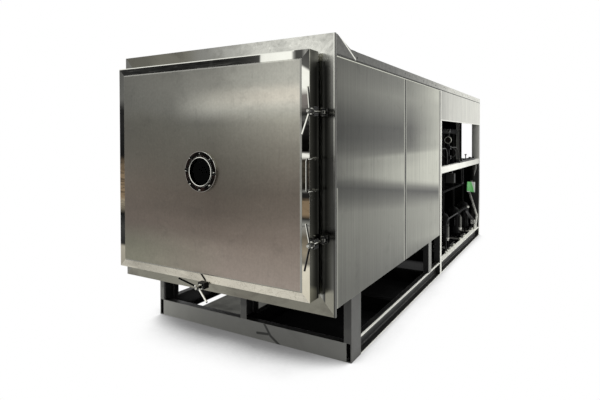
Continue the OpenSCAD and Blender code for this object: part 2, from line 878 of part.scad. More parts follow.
module sight_flange() {
    f = at(sight_face);
    recess = sight_gasket_t + glass_t;
    color("silver") on_door() translate([0, 0, door_mid]) difference() {
        union() {
            disc_y(sight_d, f, f + sight_pad);
            disc_y(sight_bore + 2*neck_t, f + sight_pad - 1, at(door_t));
        }
        disc_y(sight_bore, f - 1, at(door_t + 1));
        disc_y(glass_d + 2, f - 1, f + recess);
        sight_holes(sight_bolt_d + 0.1, f - 1, f + 20);
    }
}

module sight_gaskets() {
    f = at(sight_face);
    color("black") on_door() translate([0, 0, door_mid]) difference() {
        disc_y(glass_d, f + glass_t, f + glass_t + sight_gasket_t);
        disc_y(sight_bore + 4, f, f + glass_t + sight_gasket_t + 1);
    }
}

module sight_glass() {
    f = at(sight_face);
    color([0.1, 0.12, 0.12, 0.6]) on_door() translate([0, 0, door_mid])
        disc_y(glass_d, f, f + glass_t);
}

module sight_cover() {
    f = at(sight_face);
    color("silver") on_door() translate([0, 0, door_mid]) difference() {
        union() {
            disc_y(sight_d, f - sight_cover_t, f);
            disc_y(sight_bore + 23, f - sight_cover_t - 3, f - sight_cover_t + 1);
        }
        disc_y(sight_bore, f - sight_cover_t - 4, f + 1);
        sight_holes(sight_bolt_d + 1, f - sight_cover_t - 1, f + 1);
    }
}

module sight_bolts() {
    f = at(sight_face) - sight_cover_t;
    color("dimgray") on_door() translate([0, 0, door_mid])
        for (i = [0:sight_bolt_n - 1])
            rotate([0, i*360/sight_bolt_n + sight_turn, 0]) translate([sight_pcd/2, 0, 0]) {
                disc_y(22, f - 2, f);
                translate([0, f - 2, 0]) rotate([90, 0, 0]) cylinder(d = 20, h = 8, $fn = 6);
                disc_y(sight_bolt_d, f - 1, f + sight_cover_t + 18);
            }
}

// ---------- handle, lugs and hinges ----------

// Rod bent into a D: legs welded to pads on the door's edge, grip in front
module door_handle() {
    r = 14;
    x = door_w/2 + 4 + handle_d/2;
    y = at(-handle_reach + handle_d/2);
    root = at(83);
    half = handle_len/2;
    color("silver") on_door() translate([0, 0, door_mid + 8]) {
        for (s = [1, -1]) mirror([0, 0, s > 0 ? 0 : 1]) {
            translate([x, y + r, half]) rod_y(handle_d, root - y - r);
            translate([x, y + r, half - r]) rotate([0, -90, 180]) bend(r, handle_d, 90);
            block([door_w/2, root - 30, half - 7], [x, root - 2, half + 7]);
        }
        translate([x, y, -half + r]) cylinder(d = handle_d, h = 2*(half - r));
    }
}

// Fork lug on an edge of the door: back face at x = 0, slot open towards +X
module fork_lug() {
    w = 52;
    difference() {
        block([0, at(-lug_front), -w/2], [clamp_off + 16, at(-lug_front + lug_len), w/2]);
        translate([clamp_off, 0, 0]) disc_y(bolt_d + 2, at(-lug_front - 1), at(-lug_front + lug_len + 1));
        block([clamp_off, at(-lug_front - 1), -bolt_d/2 - 1],
            [clamp_off + 17, at(-lug_front + lug_len + 1), bolt_d/2 + 1]);
    }
}

module clamp_lugs() {
    color("dimgray") on_door() {
        translate([door_w/2, 0, clamp_upper_z]) fork_lug();
        translate([door_w/2, 0, clamp_lower_z]) fork_lug();
        translate([0, 0, door_z]) rotate([0, 90, 0]) fork_lug();
    }
}

module hinge_leaves() {
    color("silver") on_door() for (z = hinge_z) translate([0, 0, z]) difference() {
        union() {
            block([-door_w/2 - 8, at(30), -knuckle_h], [-door_w/2, at(100), knuckle_h]);
            block([hinge_x, at(hinge_back - 14), -knuckle_h/2],
                [-door_w/2 - 7, at(hinge_back + 14), knuckle_h/2]);
            translate([hinge_x, at(hinge_back), -knuckle_h/2]) cylinder(d = knuckle_d, h = knuckle_h);
        }
        translate([hinge_x, at(hinge_back), -knuckle_h])
            cylinder(d = hinge_pin_d + 2*run_gap, h = 2*knuckle_h);
    }
}

module hinge_brackets() {
    h = 30;
    color("silver") for (z = hinge_z) translate([0, 0, z]) difference() {
        union() {
            block([hinge_x - 40, at(fascia_back - 10), -knuckle_h/2 - h - 8],
                [hinge_x + 32, at(fascia_back), knuckle_h/2 + h + 8]);
            for (s = [1, -1]) translate([0, 0, s*(knuckle_h/2 + seat_gap + h/2)]) {
                block([hinge_x - 15, at(hinge_back), -h/2],
                    [hinge_x + 15, at(fascia_back - 9), h/2]);
                translate([hinge_x, at(hinge_back), -h/2]) cylinder(d = knuckle_d, h = h);
            }
        }
        translate([hinge_x, at(hinge_back), -knuckle_h - h])
            cylinder(d = hinge_pin_d, h = 2*(knuckle_h + h));
    }
}

// ---------- clamps ----------

// A clamp is drawn with its pivot pin along Z at the origin and its bolt
// pointing to -Y, then placed on the fascia
module at_clamp(n) {
    if (n == "upper") translate([clamp_x, at(eye_back), clamp_upper_z]) children();
    if (n == "lower") translate([clamp_x, at(eye_back), clamp_lower_z]) children();
    if (n == "bottom") translate([0, at(eye_back), clamp_bottom_z]) rotate([0, 90, 0]) children();
}

clamps = ["upper", "lower", "bottom"];

module clamp_brackets() {
    ear0 = eye_t/2 + seat_gap;
    foot = ear0 + ear_t + 5;
    color("dimgray") for (n = clamps) at_clamp(n) difference() {
        union() {
            block([-19, eye_d/2 + 3, -foot], [19, eye_d/2 + 3 + bracket_t, foot]);
            for (s = [1, -1]) translate([0, 0, s > 0 ? ear0 : -ear0 - ear_t]) {
                cylinder(d = eye_d, h = ear_t);
                block([-eye_d/2, 0, 0], [eye_d/2, eye_d/2 + 4, ear_t]);
            }
        }
        translate([0, 0, -50]) cylinder(d = pin_d, h = 100);
    }
}

// Hinge pins and clamp pins, each with a head
module pivot_pins() {
    h = 30;
    top = knuckle_h/2 + seat_gap + h;
    reach = eye_t/2 + seat_gap + ear_t;
    color("gray") {
        for (z = hinge_z) translate([hinge_x, at(hinge_back), z]) {
            translate([0, 0, -top]) cylinder(d = hinge_pin_d, h = 2*top);
            translate([0, 0, top]) cylinder(d = 30, h = 8);
        }
        for (n = clamps) at_clamp(n) {
            translate([0, 0, -reach - 4]) cylinder(d = pin_d, h = 2*reach + 4);
            translate([0, 0, reach]) cylinder(d = pin_d + 8, h = 5);
        }
    }
}

module swing_bolt(n) {
    color("silver") at_clamp(n) difference() {
        union() {
            translate([0, 0, -eye_t/2]) cylinder(d = eye_d, h = eye_t);
            translate([0, -bolt_len, 0]) rod_y(bolt_d, bolt_len);
        }
        translate([0, 0, -eye_t]) cylinder(d = pin_d + 2*run_gap, h = 2*eye_t);
    }
}

module swing_bolt_upper() { swing_bolt("upper"); }
module swing_bolt_lower() { swing_bolt("lower"); }
module swing_bolt_bottom() { swing_bolt("bottom"); }

module clamp_washer(n) {
    y1 = -(eye_back + lug_front + clamp_slack);
    color("gray") at_clamp(n) difference() {
        disc_y(washer_d, y1 - washer_t, y1);
        disc_y(bolt_d + 2*run_gap, y1 - washer_t - 1, y1 + 1);
    }
}

module washer_upper() { clamp_washer("upper"); }
module washer_lower() { clamp_washer("lower"); }
module washer_bottom() { clamp_washer("bottom"); }

// Hand nut: a turned hub with two bars leaning forward in a V
module hand_nut(n, turn) {
    mid = -(eye_back + hub_mid);
    color("silver") at_clamp(n) translate([0, mid, 0]) rotate([0, turn, 0]) difference() {
        union() {
            disc_y(hub_d, -hub_len/2 + 5, hub_len/2);
            disc_y(hub_d - 5, -hub_len/2, -hub_len/2 + 6);
            for (s = [1, -1]) rotate([s*(90 - bar_lean), 0, 0]) rotate([180, 0, 0])
                rod_y(bar_d, bar_len);
        }
        disc_y(bolt_d + 2*run_gap, -hub_len, hub_len);
    }
}

module hand_nut_upper() { hand_nut("upper", 8); }
module hand_nut_lower() { hand_nut("lower", 2); }
module hand_nut_bottom() { hand_nut("bottom", 26); }

// ---------- machine bay ----------

// Round rod from one point to another
module seg(p, q, d) {
    v = q - p;
    translate(p) rotate([0, acos(v[2]/norm(v)), atan2(v[1], v[0])]) cylinder(d = d, h = norm(v));
}

// Hermetic compressor: welded can with a dome, on a foot plate
module compressor() {
    r = comp_r;
    translate([0, 0, 30]) rotate_extrude() polygon(concat(
        [[0, 0], [r - 12, 0], [r, 12]],
        [for (a = [0:15:90]) [r*cos(a), comp_h - 110 + 80*sin(a)]]));
    // weld band and foot plate on rubber mounts
    translate([0, 0, 60]) cylinder(r = r + 4, h = 10);
    block([-115, -115, 22], [115, 115, 31]);
    for (x = [-92, 92], y = [-92, 92]) translate([x, y, 0]) cylinder(d = 36, h = 23);
    // terminal box, suction stub and discharge stub
    block([-40, -r - 36, 150], [40, -r + 18, 240]);
    translate([-r - 55, 0, 120]) rod_x(34, 80);
    translate([0, 0, comp_h - 20]) cylinder(d = 22, h = 40);
}

module compressors() {
    color([0.12, 0.12, 0.12]) for (y = comp_y) translate([comp_x, y, unit_z]) compressor();
    // rails under the compressors, from the middle stringer to the side beam
    color("gray") for (y = comp_y, s = [1, -1])
        translate([rail_in, y + s*92 - 20, beam_h]) tube_x(40, rail_foot, base_right - flange_w + 14 - rail_in, 3);
}

// Foot of the condenser, cut to the shell's curve
module saddle(y) {
    for (s = [1, -1]) side(s) difference() {
        block([30, y, beam_h - cond_z], [130, y + 80, -cond_r + 40]);
        translate([0, y - 1, 0]) rod_y(2*(cond_r + weld), 82);
    }
}

module condenser() {
    color("gray") translate([cond_x, 0, cond_z]) {
        translate([0, cond_y0, 0]) rod_y(2*cond_r, cond_len);
        for (y = [cond_y0 - 60, cond_y0 + cond_len]) {
            translate([0, y, 0]) rod_y(2*cond_r + 50, 22);
            translate([0, y + 38, 0]) rod_y(2*cond_r + 50, 22);
            translate([0, y + 10, 0]) rod_y(2*cond_r + 10, 40);
        }
        for (y = [cond_y0 + 250, cond_y0 + cond_len - 330])
            saddle(y);
        for (y = [cond_y0 + 400, cond_y0 + 1200])
            translate([0, y, cond_r + weld]) cylinder(d = 48, h = 90);
    }
}

// Upright vessels between the compressors and the condenser
module oil_separators() {
    color([0.55, 0.56, 0.55]) for (y = comp_y) translate([sep_x, y + 8, beam_h]) {
        cylinder(d = 34, h = 60);
        translate([0, 0, 50]) rotate_extrude() polygon(concat([[0, 0], [40, 0], [70, 20]],
            [for (a = [0:15:90]) [70*cos(a), 430 + 40*sin(a)]]));
        block([-60, -40, 0], [60, 40, 6]);
        translate([0, 0, 510]) cylinder(d = 22, h = 50);
    }
}

module vacuum_pump() {
    color([0.25, 0.3, 0.33]) translate([pump_x, pump_y, beam_h]) {
        block([-pump_half, -60, 0], [pump_half, 1150, 30]);
        // pump casing with cooling ribs
        block([-170, 0, 30 + weld], [170, 420, 380]);
        for (i = [0:8]) block([-185, 25 + i*44, 60], [185, 37 + i*44, 350]);
        translate([0, 210, 379]) cylinder(d = 150, h = 41);
        // coupling guard and motor
        block([-90, 419, 60], [90, 540 - weld, 330]);
        translate([0, 540, 200]) rod_y(270, 380);
        for (a = [0:20:340]) translate([0, 580, 200]) rotate([0, a, 0])
            block([132, 0, -3], [150, 300, 3]);
        translate([0, 915, 200]) rod_y(290, 95);
        for (y = [600, 820]) block([-120, y, 30 + weld], [120, y + 50, 110]);
        block([-60, 640, 320], [60, 780, 400]);
    }
}

// Line from the chamber's back wall to the pump, with its isolating valve
module vacuum_pipe() {
    r = 170;
    y0 = shell_back + back_t;
    y1 = pump_y + 210;
    z0 = beam_h + 420;
    color("silver") {
        translate([pump_x, y0, vac_z]) {
            rod_y(190, 20);
            rod_y(vac_d, y1 - y0 - r);
            translate([0, 150, 0]) rod_y(200, 18);
            translate([0, 167, 0]) rod_y(170, 54);
            translate([0, 220, 0]) rod_y(200, 18);
            translate([0, 194, 60]) cylinder(d = 40, h = 95);
            translate([-70, 140, 150]) cube([140, 110, 90]);
        }
        translate([pump_x, y1 - r + weld, vac_z - r]) rotate([90, 0, 90]) bend(r, vac_d + 6, 90);
        translate([pump_x, y1, z0]) cylinder(d = vac_d, h = vac_z - r - z0 - weld);
        translate([pump_x, y1, z0]) cylinder(d = 190, h = 20);
    }
}

module refrigerant_pipes() {
    y0 = shell_back + back_t;
    y1 = comp_y[2];
    color([0.1, 0.1, 0.1]) {
        // suction header from the cold trap, with a riser from each compressor
        translate([riser_x, y0, riser_top]) {
            rod_y(70, y1 - y0 + 120);
            rod_y(110, 16);
        }
        for (y = comp_y) translate([riser_x, y, unit_z + 120 + 17])
            cylinder(d = 34, h = riser_top - 35 - weld - unit_z - 137);
        // discharge header, a drop from it to each vessel's top and condenser
        translate([comp_x, comp_y[0] - 40, discharge_z]) rod_y(discharge_d, y1 - comp_y[0] + 120);
        for (y = comp_y) {
            translate([comp_x, y, unit_z + comp_h + 20])
                cylinder(d = 22, h = discharge_z - discharge_d/2 - weld - unit_z - comp_h - 20);
            translate([sep_x, y + 8, beam_h + 560]) cylinder(d = 22, h = discharge_z - beam_h - 560);
            translate([sep_x, y + 8, discharge_z]) sphere(d = 30);
            translate([sep_x, y + 8, discharge_z]) rod_x(22, comp_x - discharge_d/2 - weld - sep_x);
        }
    }
    // service header on two legs over the side beam, and the driers
    color([0.3, 0.3, 0.3]) {
        block([serv_x - 14, at(3560), serv_z], [serv_x + 14, at(4200), serv_z + 28]);
        translate([serv_x, at(3776), 0]) drier(beam_h + weld, serv_z - weld, 250, 430, 40);
        translate([serv_x, at(4060), beam_h + weld]) cylinder(d = 16, h = serv_z - beam_h - 2*weld);
        translate([serv_x + 8, at(3080), 0]) drier(beam_h + weld, 470, 257, 420, 34);
        translate([hang_x, at(4483), 0]) drier(815, rail_z - weld, 815, 985, 46);
    }
}

// Small upright vessel between z2 and z3 with a thin stem from z0 to z1
module drier(z0, z1, z2, z3, d) {
    translate([0, 0, z0]) cylinder(d = 16, h = z1 - z0);
    r = d/2;
    rotate_extrude() polygon([[0, z2], [r - 8, z2], [r, z2 + 14], [r, z3 - 14], [r - 8, z3], [0, z3]]);
}

// Flexible hoses and conduit, each drawn whole
module bay_hoses() {
    color([0.6, 0.6, 0.58]) {
        // pair of hoses looping from the gauge block down to the lower tee
        translate([gauge_x, gauge_y + 20, gauge_z - 90 - loop_r]) for (s = [1, -1]) side(s)
            translate([tee_x, 0, 0]) rotate([90, 0, 0]) rotate([0, 0, -90]) bend(loop_r, 10, 180);
        // loop hanging under the side rail
        x = base_right - rail_w/2;
        translate([x, at(3780), rail_z - 150]) {
            for (s = [1, -1]) translate([0, s*52, 0]) cylinder(d = 12, h = 150);
            rotate([90, 0, 90]) rotate([0, 0, 180]) bend(52, 12, 180);
        }
        // conduit from the side rail down to the beam
        run([[x, at(4660), rail_z], [x, at(4660), rail_z - 60], [x - 86, at(4645), 660],
            [x + 2, at(4765), 290], [x - 2, at(4700), beam_h + 60], [x - 2, at(4700), beam_h]], 30);
        // hose from the gauge block, and one from the bay's front post, down to the tray
        for (h = [[gauge_x + 16, gauge_y + 40 + weld, at(3700), 1290, 170],
                [x - 30, bay_y + bay_post + weld, at(3000), 1290, 110]]) translate([h[0], 0, 0]) {
            translate([0, h[1], h[3]]) rod_y(10, h[2] - h[1]);
            translate([0, h[2], h[3] - h[4]]) rotate([90, 0, 90]) bend(h[4], 10, 90);
            translate([0, h[2] + h[4], tray_z + weld]) cylinder(d = 10, h = h[3] - h[4] - tray_z - weld);
        }
        // return hose rising beside the post and bending back to the service header
        translate([serv_x + 8, at(2990), 0]) {
            translate([0, 0, beam_h + weld]) cylinder(d = 16, h = 384 - beam_h - weld);
            translate([0, 110, 384]) rotate([90, 0, -90]) rotate([0, 0, 0]) bend(110, 16, 90);
            translate([0, 110, serv_z + 14]) rod_y(16, at(3560) - weld - at(3100));
        }
        // three hoses fanning from the service header to a valve block
        for (i = [0:2]) run([[serv_x, at(4110 + 30*i), serv_z - weld], [serv_x, at(4110 + 30*i), serv_z - 40],
            [serv_x - 24 + 23*i, at(4625), 240], [serv_x - 24 + 23*i, at(4625), 190 + weld]], 12);
    }
}

// Hose through a list of points, with rounded corners
module run(p, d) {
    for (i = [0:len(p) - 2]) {
        seg(p[i], p[i + 1], d);
        if (i > 0) translate(p[i]) sphere(d = d + 1);
    }
}

module electric_box() {
    x1 = base_right - rail_w - 22;
    color("gray") translate([x1, at(3500), 862]) {
        block([-92, 0, 0], [0, 80, 112]);
        block([-94, -4, -2], [2, 2, 114]);
        // hanger to the side rail
        block([-30, 20, 110], [-26, 60, 190]);
        block([-30, 20, 186], [22, 60, 190]);
    }
}

// Standpipe with two dial gauges that face forward
module gauge_set() {
    block_z = gauge_z - 90;
    color("dimgray") translate([gauge_x, gauge_y, 0]) {
        translate([0, 20, rail_z + 34]) cylinder(d = 20, h = gauge_z - rail_z - 34 + 130);
        for (z = [block_z, block_z - 2*loop_r])
            block([-tee_x, 0, z - 20], [tee_x, 40, z + 20]);
        block([-18, 2, gauge_z + 90], [18, 38, gauge_z + 130]);
        // bracket to the side rail
        block([-6, 14, rail_z + 24], [base_right - rail_w - gauge_x, 26, rail_z + 60]);
        difference() {
            union() {
                translate([0, 0, gauge_z]) disc_y(gauge_d, -gauge_depth, 0);
                translate([0, 0, gauge_z]) disc_y(30, -1, 20);
            }
            translate([0, 0, gauge_z]) disc_y(gauge_d - 8, -gauge_depth - 1, -gauge_depth + 14);
        }
        translate([0, 0, gauge_z]) disc_y(spindle_d, -gauge_depth + 4, -gauge_depth + 15);
    }
    // tray behind the side rail that the hoses end on
    color("dimgray")
        block([gauge_x - 20, at(3080), tray_z - 6], [base_right - rail_w - weld, at(3960), tray_z]);
    // valve bank on the side rail
    color([0.1, 0.1, 0.1]) translate([base_right - rail_w/2, 0, rail_z + rail_h + weld]) {
        block([-15, at(3700), 0], [15, at(4560), 20]);
        for (v = [[3730, 34, 34], [3860, 26, 40], [4120, 30, 36], [4250, 40, 46], [4390, 26, 34],
                [4500, 34, 42]])
            block([-13, at(v[0]) - v[1]/2, 19], [13, at(v[0]) + v[1]/2, v[2]]);
        translate([0, at(3975), 19]) cylinder(d = 12, h = 66);
        translate([0, at(3975) - 30, 86]) rod_y(16, 60);
    }
    color("silver") translate([base_right - rail_w/2, 0, rail_z + rail_h + weld])
        block([-16, at(3560), 0], [16, at(3690), 16]);
    // valve block at the foot of the fanned hoses
    color("dimgray") {
        block([serv_x - 40, at(4610), beam_h + weld], [serv_x + 36, at(4640), 170]);
        for (i = [0:2]) translate([serv_x - 24 + 23*i, at(4625), 169]) cylinder(d = 18, h = 21);
        translate([serv_x + 14 + weld, at(4142), serv_z + 14]) rod_x(26, 20);
    }
}

module gauge_pointer() {
    color("red") translate([gauge_x, gauge_y - gauge_depth + 8, gauge_z]) difference() {
        union() {
            disc_y(10, 0, 2);
            block([-1, 0.5, -10], [1, 1.7, 30]);
        }
        disc_y(spindle_d + 2*run_gap, -1, 3);
    }
}

base_beams();
cross_beams();
front_posts();
middle_posts();
bay_frame();
panel_frame();
chamber_cradle();
chamber_shell();
chamber_ribs();
chamber_collar();
door_gasket();
shelf_rack();
heating_shelves();
shelf_manifolds();
shelf_hoses();
trap_baffle();
cold_trap_coils();
coil_supports();
fascia_frame();
side_panels_front();
side_panels_middle();
bay_headers();
trim_strips();
roof_panels();
rear_panels();
panel_screws();
door_casing();
door_plate();
door_ribs();
door_panel();
sight_flange();
sight_gaskets();
sight_glass();
sight_cover();
sight_bolts();
door_handle();
clamp_lugs();
hinge_leaves();
hinge_brackets();
clamp_brackets();
pivot_pins();
swing_bolt_upper();
swing_bolt_lower();
swing_bolt_bottom();
washer_upper();
washer_lower();
washer_bottom();
hand_nut_upper();
hand_nut_lower();
hand_nut_bottom();
compressors();
condenser();
oil_separators();
vacuum_pump();
vacuum_pipe();
refrigerant_pipes();
bay_hoses();
electric_box();
gauge_set();
gauge_pointer();
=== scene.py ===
"""Looks of the freeze dryer: a procedural material for every CAD node, one added
card, a pale studio and the photograph's camera. Lengths are in metres."""

import math

import bpy
from mathutils import Matrix, Vector


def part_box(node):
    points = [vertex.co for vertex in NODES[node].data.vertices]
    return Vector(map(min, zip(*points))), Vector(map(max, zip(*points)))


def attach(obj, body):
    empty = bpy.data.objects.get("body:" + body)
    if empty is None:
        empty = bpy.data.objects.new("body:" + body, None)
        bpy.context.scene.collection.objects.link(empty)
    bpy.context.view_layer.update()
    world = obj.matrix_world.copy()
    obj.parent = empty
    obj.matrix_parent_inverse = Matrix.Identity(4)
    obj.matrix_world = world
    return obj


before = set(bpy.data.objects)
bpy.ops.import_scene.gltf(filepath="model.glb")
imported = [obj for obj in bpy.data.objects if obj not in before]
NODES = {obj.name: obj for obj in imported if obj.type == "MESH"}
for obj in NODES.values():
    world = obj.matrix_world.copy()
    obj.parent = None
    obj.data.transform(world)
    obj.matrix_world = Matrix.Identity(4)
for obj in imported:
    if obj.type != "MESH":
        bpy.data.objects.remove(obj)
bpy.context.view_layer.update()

X, Y, Z = range(3)


# ------------------------------------------------- places on the CAD, in metres
def reach(node, axis):
    """Low end, middle and high end of a CAD node, to a tenth of a millimetre."""
    lo, hi = (corner[axis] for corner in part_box(node))
    return [round(v, 4) for v in (lo, (lo + hi) / 2, hi)]


# door: polished edge (casing), swing bolts, handle, sight glass
CASING_LO, MID_Z, CASING_HI = reach("door_casing", Z)
CASING_FRONT, _, CASING_BACK = reach("door_casing", Y)
CASING_TURN = CASING_FRONT + 0.0015      # behind this y its side wall begins
CASING_HALF = reach("door_casing", X)[2]
DOOR_Z = (0.55, 1.9)                     # heights between which the panel's tones lie
EYE_Y = reach("swing_bolt_upper", Y)[2] - 0.055     # the bolts' eyes lie behind
LEG_Y = reach("door_handle", Y)[0] + 0.013          # the handle's legs lie behind
SIGHT_BOLT_R = 0.1185                    # bolt circle of the sight glass
# fascia and side sheets
FASCIA_LO, _, FASCIA_HI = reach("fascia_frame", Z)
FASCIA_HALF = reach("fascia_frame", X)[2]
OPENING = (0.75, 0.672)                  # half width and height inside the mitres
SIDE_FRONT = -2.19                       # y of the side sheets' first tones
SIDE_HI = reach("side_panels_front", Z)[2]
SEAM_FRONT = (reach("side_panels_front", Y)[2] + reach("side_panels_middle", Y)[0]) / 2
SEAM_REAR = (reach("side_panels_middle", Y)[2] + reach("bay_headers", Y)[0]) / 2
# roof and machine bay
TRIM_LO = reach("trim_strips", Z)[0]
TRIM_FOOT = TRIM_LO - 0.001
ROOF_FIXINGS = ((-1.945, 1.959), (-1.93, 1.924), (-0.954, 1.938), (-0.12, 1.94),
                (0.36, 1.94), (0.95, 1.985), (1.6, 1.99))      # (y, z) on the trim
HEADER_LO = reach("bay_headers", Z)[0]
BAY_FRONT, _, BAY_BACK = reach("bay_frame", Y)
BAY_Y = BAY_FRONT - 0.0005               # behind this y lies the bay
RAIL_Z = 1.09                            # underside of the bay's side rail
GAUGE = (0.79, 0.99, 1.38)               # centre of the gauge's dial
# base
_, BASE_MID, BASE_RIGHT = reach("base_beams", X)
BASE_FRONT = reach("base_beams", Y)[0]
BEAM_HI = reach("base_beams", Z)[2]
BEAM_TOP = BEAM_HI - 0.0005              # above this z only the beams' top faces
# directions and a colour
FRONT, LEFT, RIGHT, TOP = (0, -1, 0), (-1, 0, 0), (1, 0, 0), (0, 0, 1)
WHITE = (1, 1, 1)


# --------------------------------------------------------------- colour and nodes
def lin(*c):
    """sRGB 0-255 to linear."""
    out = []
    for v in c:
        v /= 255.0
        out.append(v / 12.92 if v <= 0.04045 else ((v + 0.055) / 1.055) ** 2.4)
    return tuple(out)


def grey(v, tint=(1.0, 1.0, 0.96)):
    """Grey of sRGB value v, slightly warm unless tinted otherwise."""
    return lin(*[min(255, v * t) for t in tint])


def shades(*pairs):
    """Ramp stops that scale what they multiply."""
    return [(p, (v,) * 3) for p, v in pairs]


class Tree:
    """A material in the making, with short names for the nodes it needs."""

    def __init__(self, name):
        self.mat = bpy.data.materials.new(name)
        self.mat.use_nodes = True
        self.nt = self.mat.node_tree
        self.nt.nodes.clear()
        self.out = self.nt.nodes.new("ShaderNodeOutputMaterial")
        self.bsdf = self.nt.nodes.new("ShaderNodeBsdfPrincipled")
        self.link(self.bsdf.outputs[0], self.out.inputs["Surface"])
        self.obj = self.nt.nodes.new("ShaderNodeTexCoord").outputs["Object"]
        sep = self.nt.nodes.new("ShaderNodeSeparateXYZ")
        self.link(self.obj, sep.inputs[0])
        self.x, self.y, self.z = sep.outputs
        self.normal_out = None

    def link(self, a, b):
        self.nt.links.new(a, b)

    def put(self, socket, v):
        """Link a socket, or write a number or a colour on the input."""
        if isinstance(v, bpy.types.NodeSocket):
            self.link(v, socket)
        elif isinstance(v, (tuple, list)) and socket.type == "RGBA" and len(v) == 3:
            socket.default_value = (*v, 1.0)
        else:
            socket.default_value = v

    # numbers and conditions
    def math(self, op, a, b=0.0, clamp=False):
        n = self.nt.nodes.new("ShaderNodeMath")
        n.operation = op
        n.use_clamp = clamp
        self.put(n.inputs[0], a)
        self.put(n.inputs[1], b)
        return n.outputs[0]

    def add(self, a, b):
        return self.math("ADD", a, b)

    def sub(self, a, b):
        return self.math("SUBTRACT", a, b)

    def mul(self, a, b, clamp=False):
        return self.math("MULTIPLY", a, b, clamp)

    def abs(self, a):
        return self.math("ABSOLUTE", a)

    def off(self, v, centre):
        """Distance of v from a centre."""
        return self.abs(self.sub(v, centre))

    def hypot(self, a, b):
        return self.math("SQRT", self.add(self.mul(a, a), self.mul(b, b)))

    def over(self, v, lim):
        return self.math("GREATER_THAN", v, lim)

    def under(self, v, lim):
        return self.math("LESS_THAN", v, lim)

    def both(self, *conds):
        """1 where every condition holds."""
        out = conds[0]
        for c in conds[1:]:
            out = self.mul(out, c)
        return out

    def span(self, v, a, b, lo=0.0, hi=1.0, smooth=False):
        """Map a..b to lo..hi, held beyond the ends."""
        n = self.nt.nodes.new("ShaderNodeMapRange")
        n.interpolation_type = "SMOOTHSTEP" if smooth else "LINEAR"
        self.put(n.inputs["Value"], v)
        n.inputs["From Min"].default_value = a
        n.inputs["From Max"].default_value = b
        n.inputs["To Min"].default_value = lo
        n.inputs["To Max"].default_value = hi
        return n.outputs[0]

    # colours
    def mix(self, f, a, b, mode="MIX"):
        n = self.nt.nodes.new("ShaderNodeMix")
        n.data_type = "RGBA"
        n.blend_type = mode
        self.put(n.inputs["Factor"], f)
        for name, v in (("A", a), ("B", b)):
            self.put([i for i in n.inputs if i.name == name and i.type == "RGBA"][0], v)
        return [o for o in n.outputs if o.type == "RGBA"][0]

    def times(self, a, b, f=1.0):
        return self.mix(f, a, b, "MULTIPLY")

    def ramp(self, v, marks, interp="LINEAR"):
        """Ramp over (place, colour), (place, grey) or (place, grey, tint)."""
        n = self.nt.nodes.new("ShaderNodeValToRGB")
        n.color_ramp.interpolation = interp
        el = n.color_ramp.elements
        while len(el) > 1:
            el.remove(el[-1])
        for i, (place, *c) in enumerate(marks):
            e = el[0] if i == 0 else el.new(place)
            e.position = place
            e.color = (*(c[0] if isinstance(c[0], tuple) else grey(*c)), 1.0)
        self.put(n.inputs[0], v)
        return n.outputs[0]

    def stops(self, v, *marks):
        """Tones at given distances along v."""
        lo, hi = marks[0][0], marks[-1][0]
        return self.ramp(self.span(v, lo, hi), [((p - lo) / (hi - lo), *c) for p, *c in marks])

    def up(self, v, lo, hi, tones):
        """Even-spaced tones from lo to hi along v."""
        n = len(tones) - 1
        return self.ramp(self.span(v, lo, hi), [(i / n, c) for i, c in enumerate(tones)], "EASE")

    def cols(self, v, *pairs):
        """Tones blended along v: (position, socket) pairs."""
        out = pairs[0][1]
        for (p0, _), (p1, tone) in zip(pairs, pairs[1:]):
            out = self.mix(self.span(v, p0, p1), out, tone)
        return out

    # places and directions
    def noise(self, scale, detail=3.0, rough=0.5, stretch=None, distort=0.0):
        src = self.obj
        if stretch:
            m = self.nt.nodes.new("ShaderNodeMapping")
            m.inputs["Scale"].default_value = stretch
            self.link(src, m.inputs["Vector"])
            src = m.outputs[0]
        n = self.nt.nodes.new("ShaderNodeTexNoise")
        n.inputs["Scale"].default_value = scale
        n.inputs["Detail"].default_value = detail
        n.inputs["Roughness"].default_value = rough
        n.inputs["Distortion"].default_value = distort
        self.link(src, n.inputs["Vector"])
        return n.outputs["Fac"] if "Fac" in n.outputs else n.outputs[0]

    def radius_xz(self, cx, cz):
        """Distance from an axis along Y."""
        return self.hypot(self.sub(self.x, cx), self.sub(self.z, cz))

    def line_gap(self, u, v, a, b):
        """Distance from the straight piece a-b in the (u, v) plane."""
        ex, ey = b[0] - a[0], b[1] - a[1]
        pu, pv = self.sub(u, a[0]), self.sub(v, a[1])
        along = self.add(self.mul(pu, ex), self.mul(pv, ey))
        h = self.math("DIVIDE", along, ex * ex + ey * ey, clamp=True)
        return self.hypot(self.sub(pu, self.mul(h, ex)), self.sub(pv, self.mul(h, ey)))

    def normal_dot(self, direction):
        g = self.nt.nodes.new("ShaderNodeNewGeometry")
        d = self.nt.nodes.new("ShaderNodeVectorMath")
        d.operation = "DOT_PRODUCT"
        self.link(g.outputs["Normal"], d.inputs[0])
        self.put(d.inputs[1], direction)
        return d.outputs["Value"]

    def facing(self, x, y, z):
        """Dot of the surface direction with (x, y, z), 0 to 1."""
        k = math.sqrt(x * x + y * y + z * z)
        return self.span(self.normal_dot((x / k, y / k, z / k)), -1.0, 1.0)

    def faces(self, direction, least=0.9):
        """1 where the surface looks along a direction."""
        return self.over(self.facing(*direction), least)

    # edges and relief
    def rounded(self, radius):
        n = self.nt.nodes.new("ShaderNodeBevel")
        n.samples = 4
        n.inputs["Radius"].default_value = radius
        return n.outputs[0]

    def edge(self, radius):
        """0 on flat faces, towards 1 along edges."""
        return self.span(self.normal_dot(self.rounded(radius)), 0.999, 0.93)

    def bevel(self, radius):
        self.normal_out = self.rounded(radius)

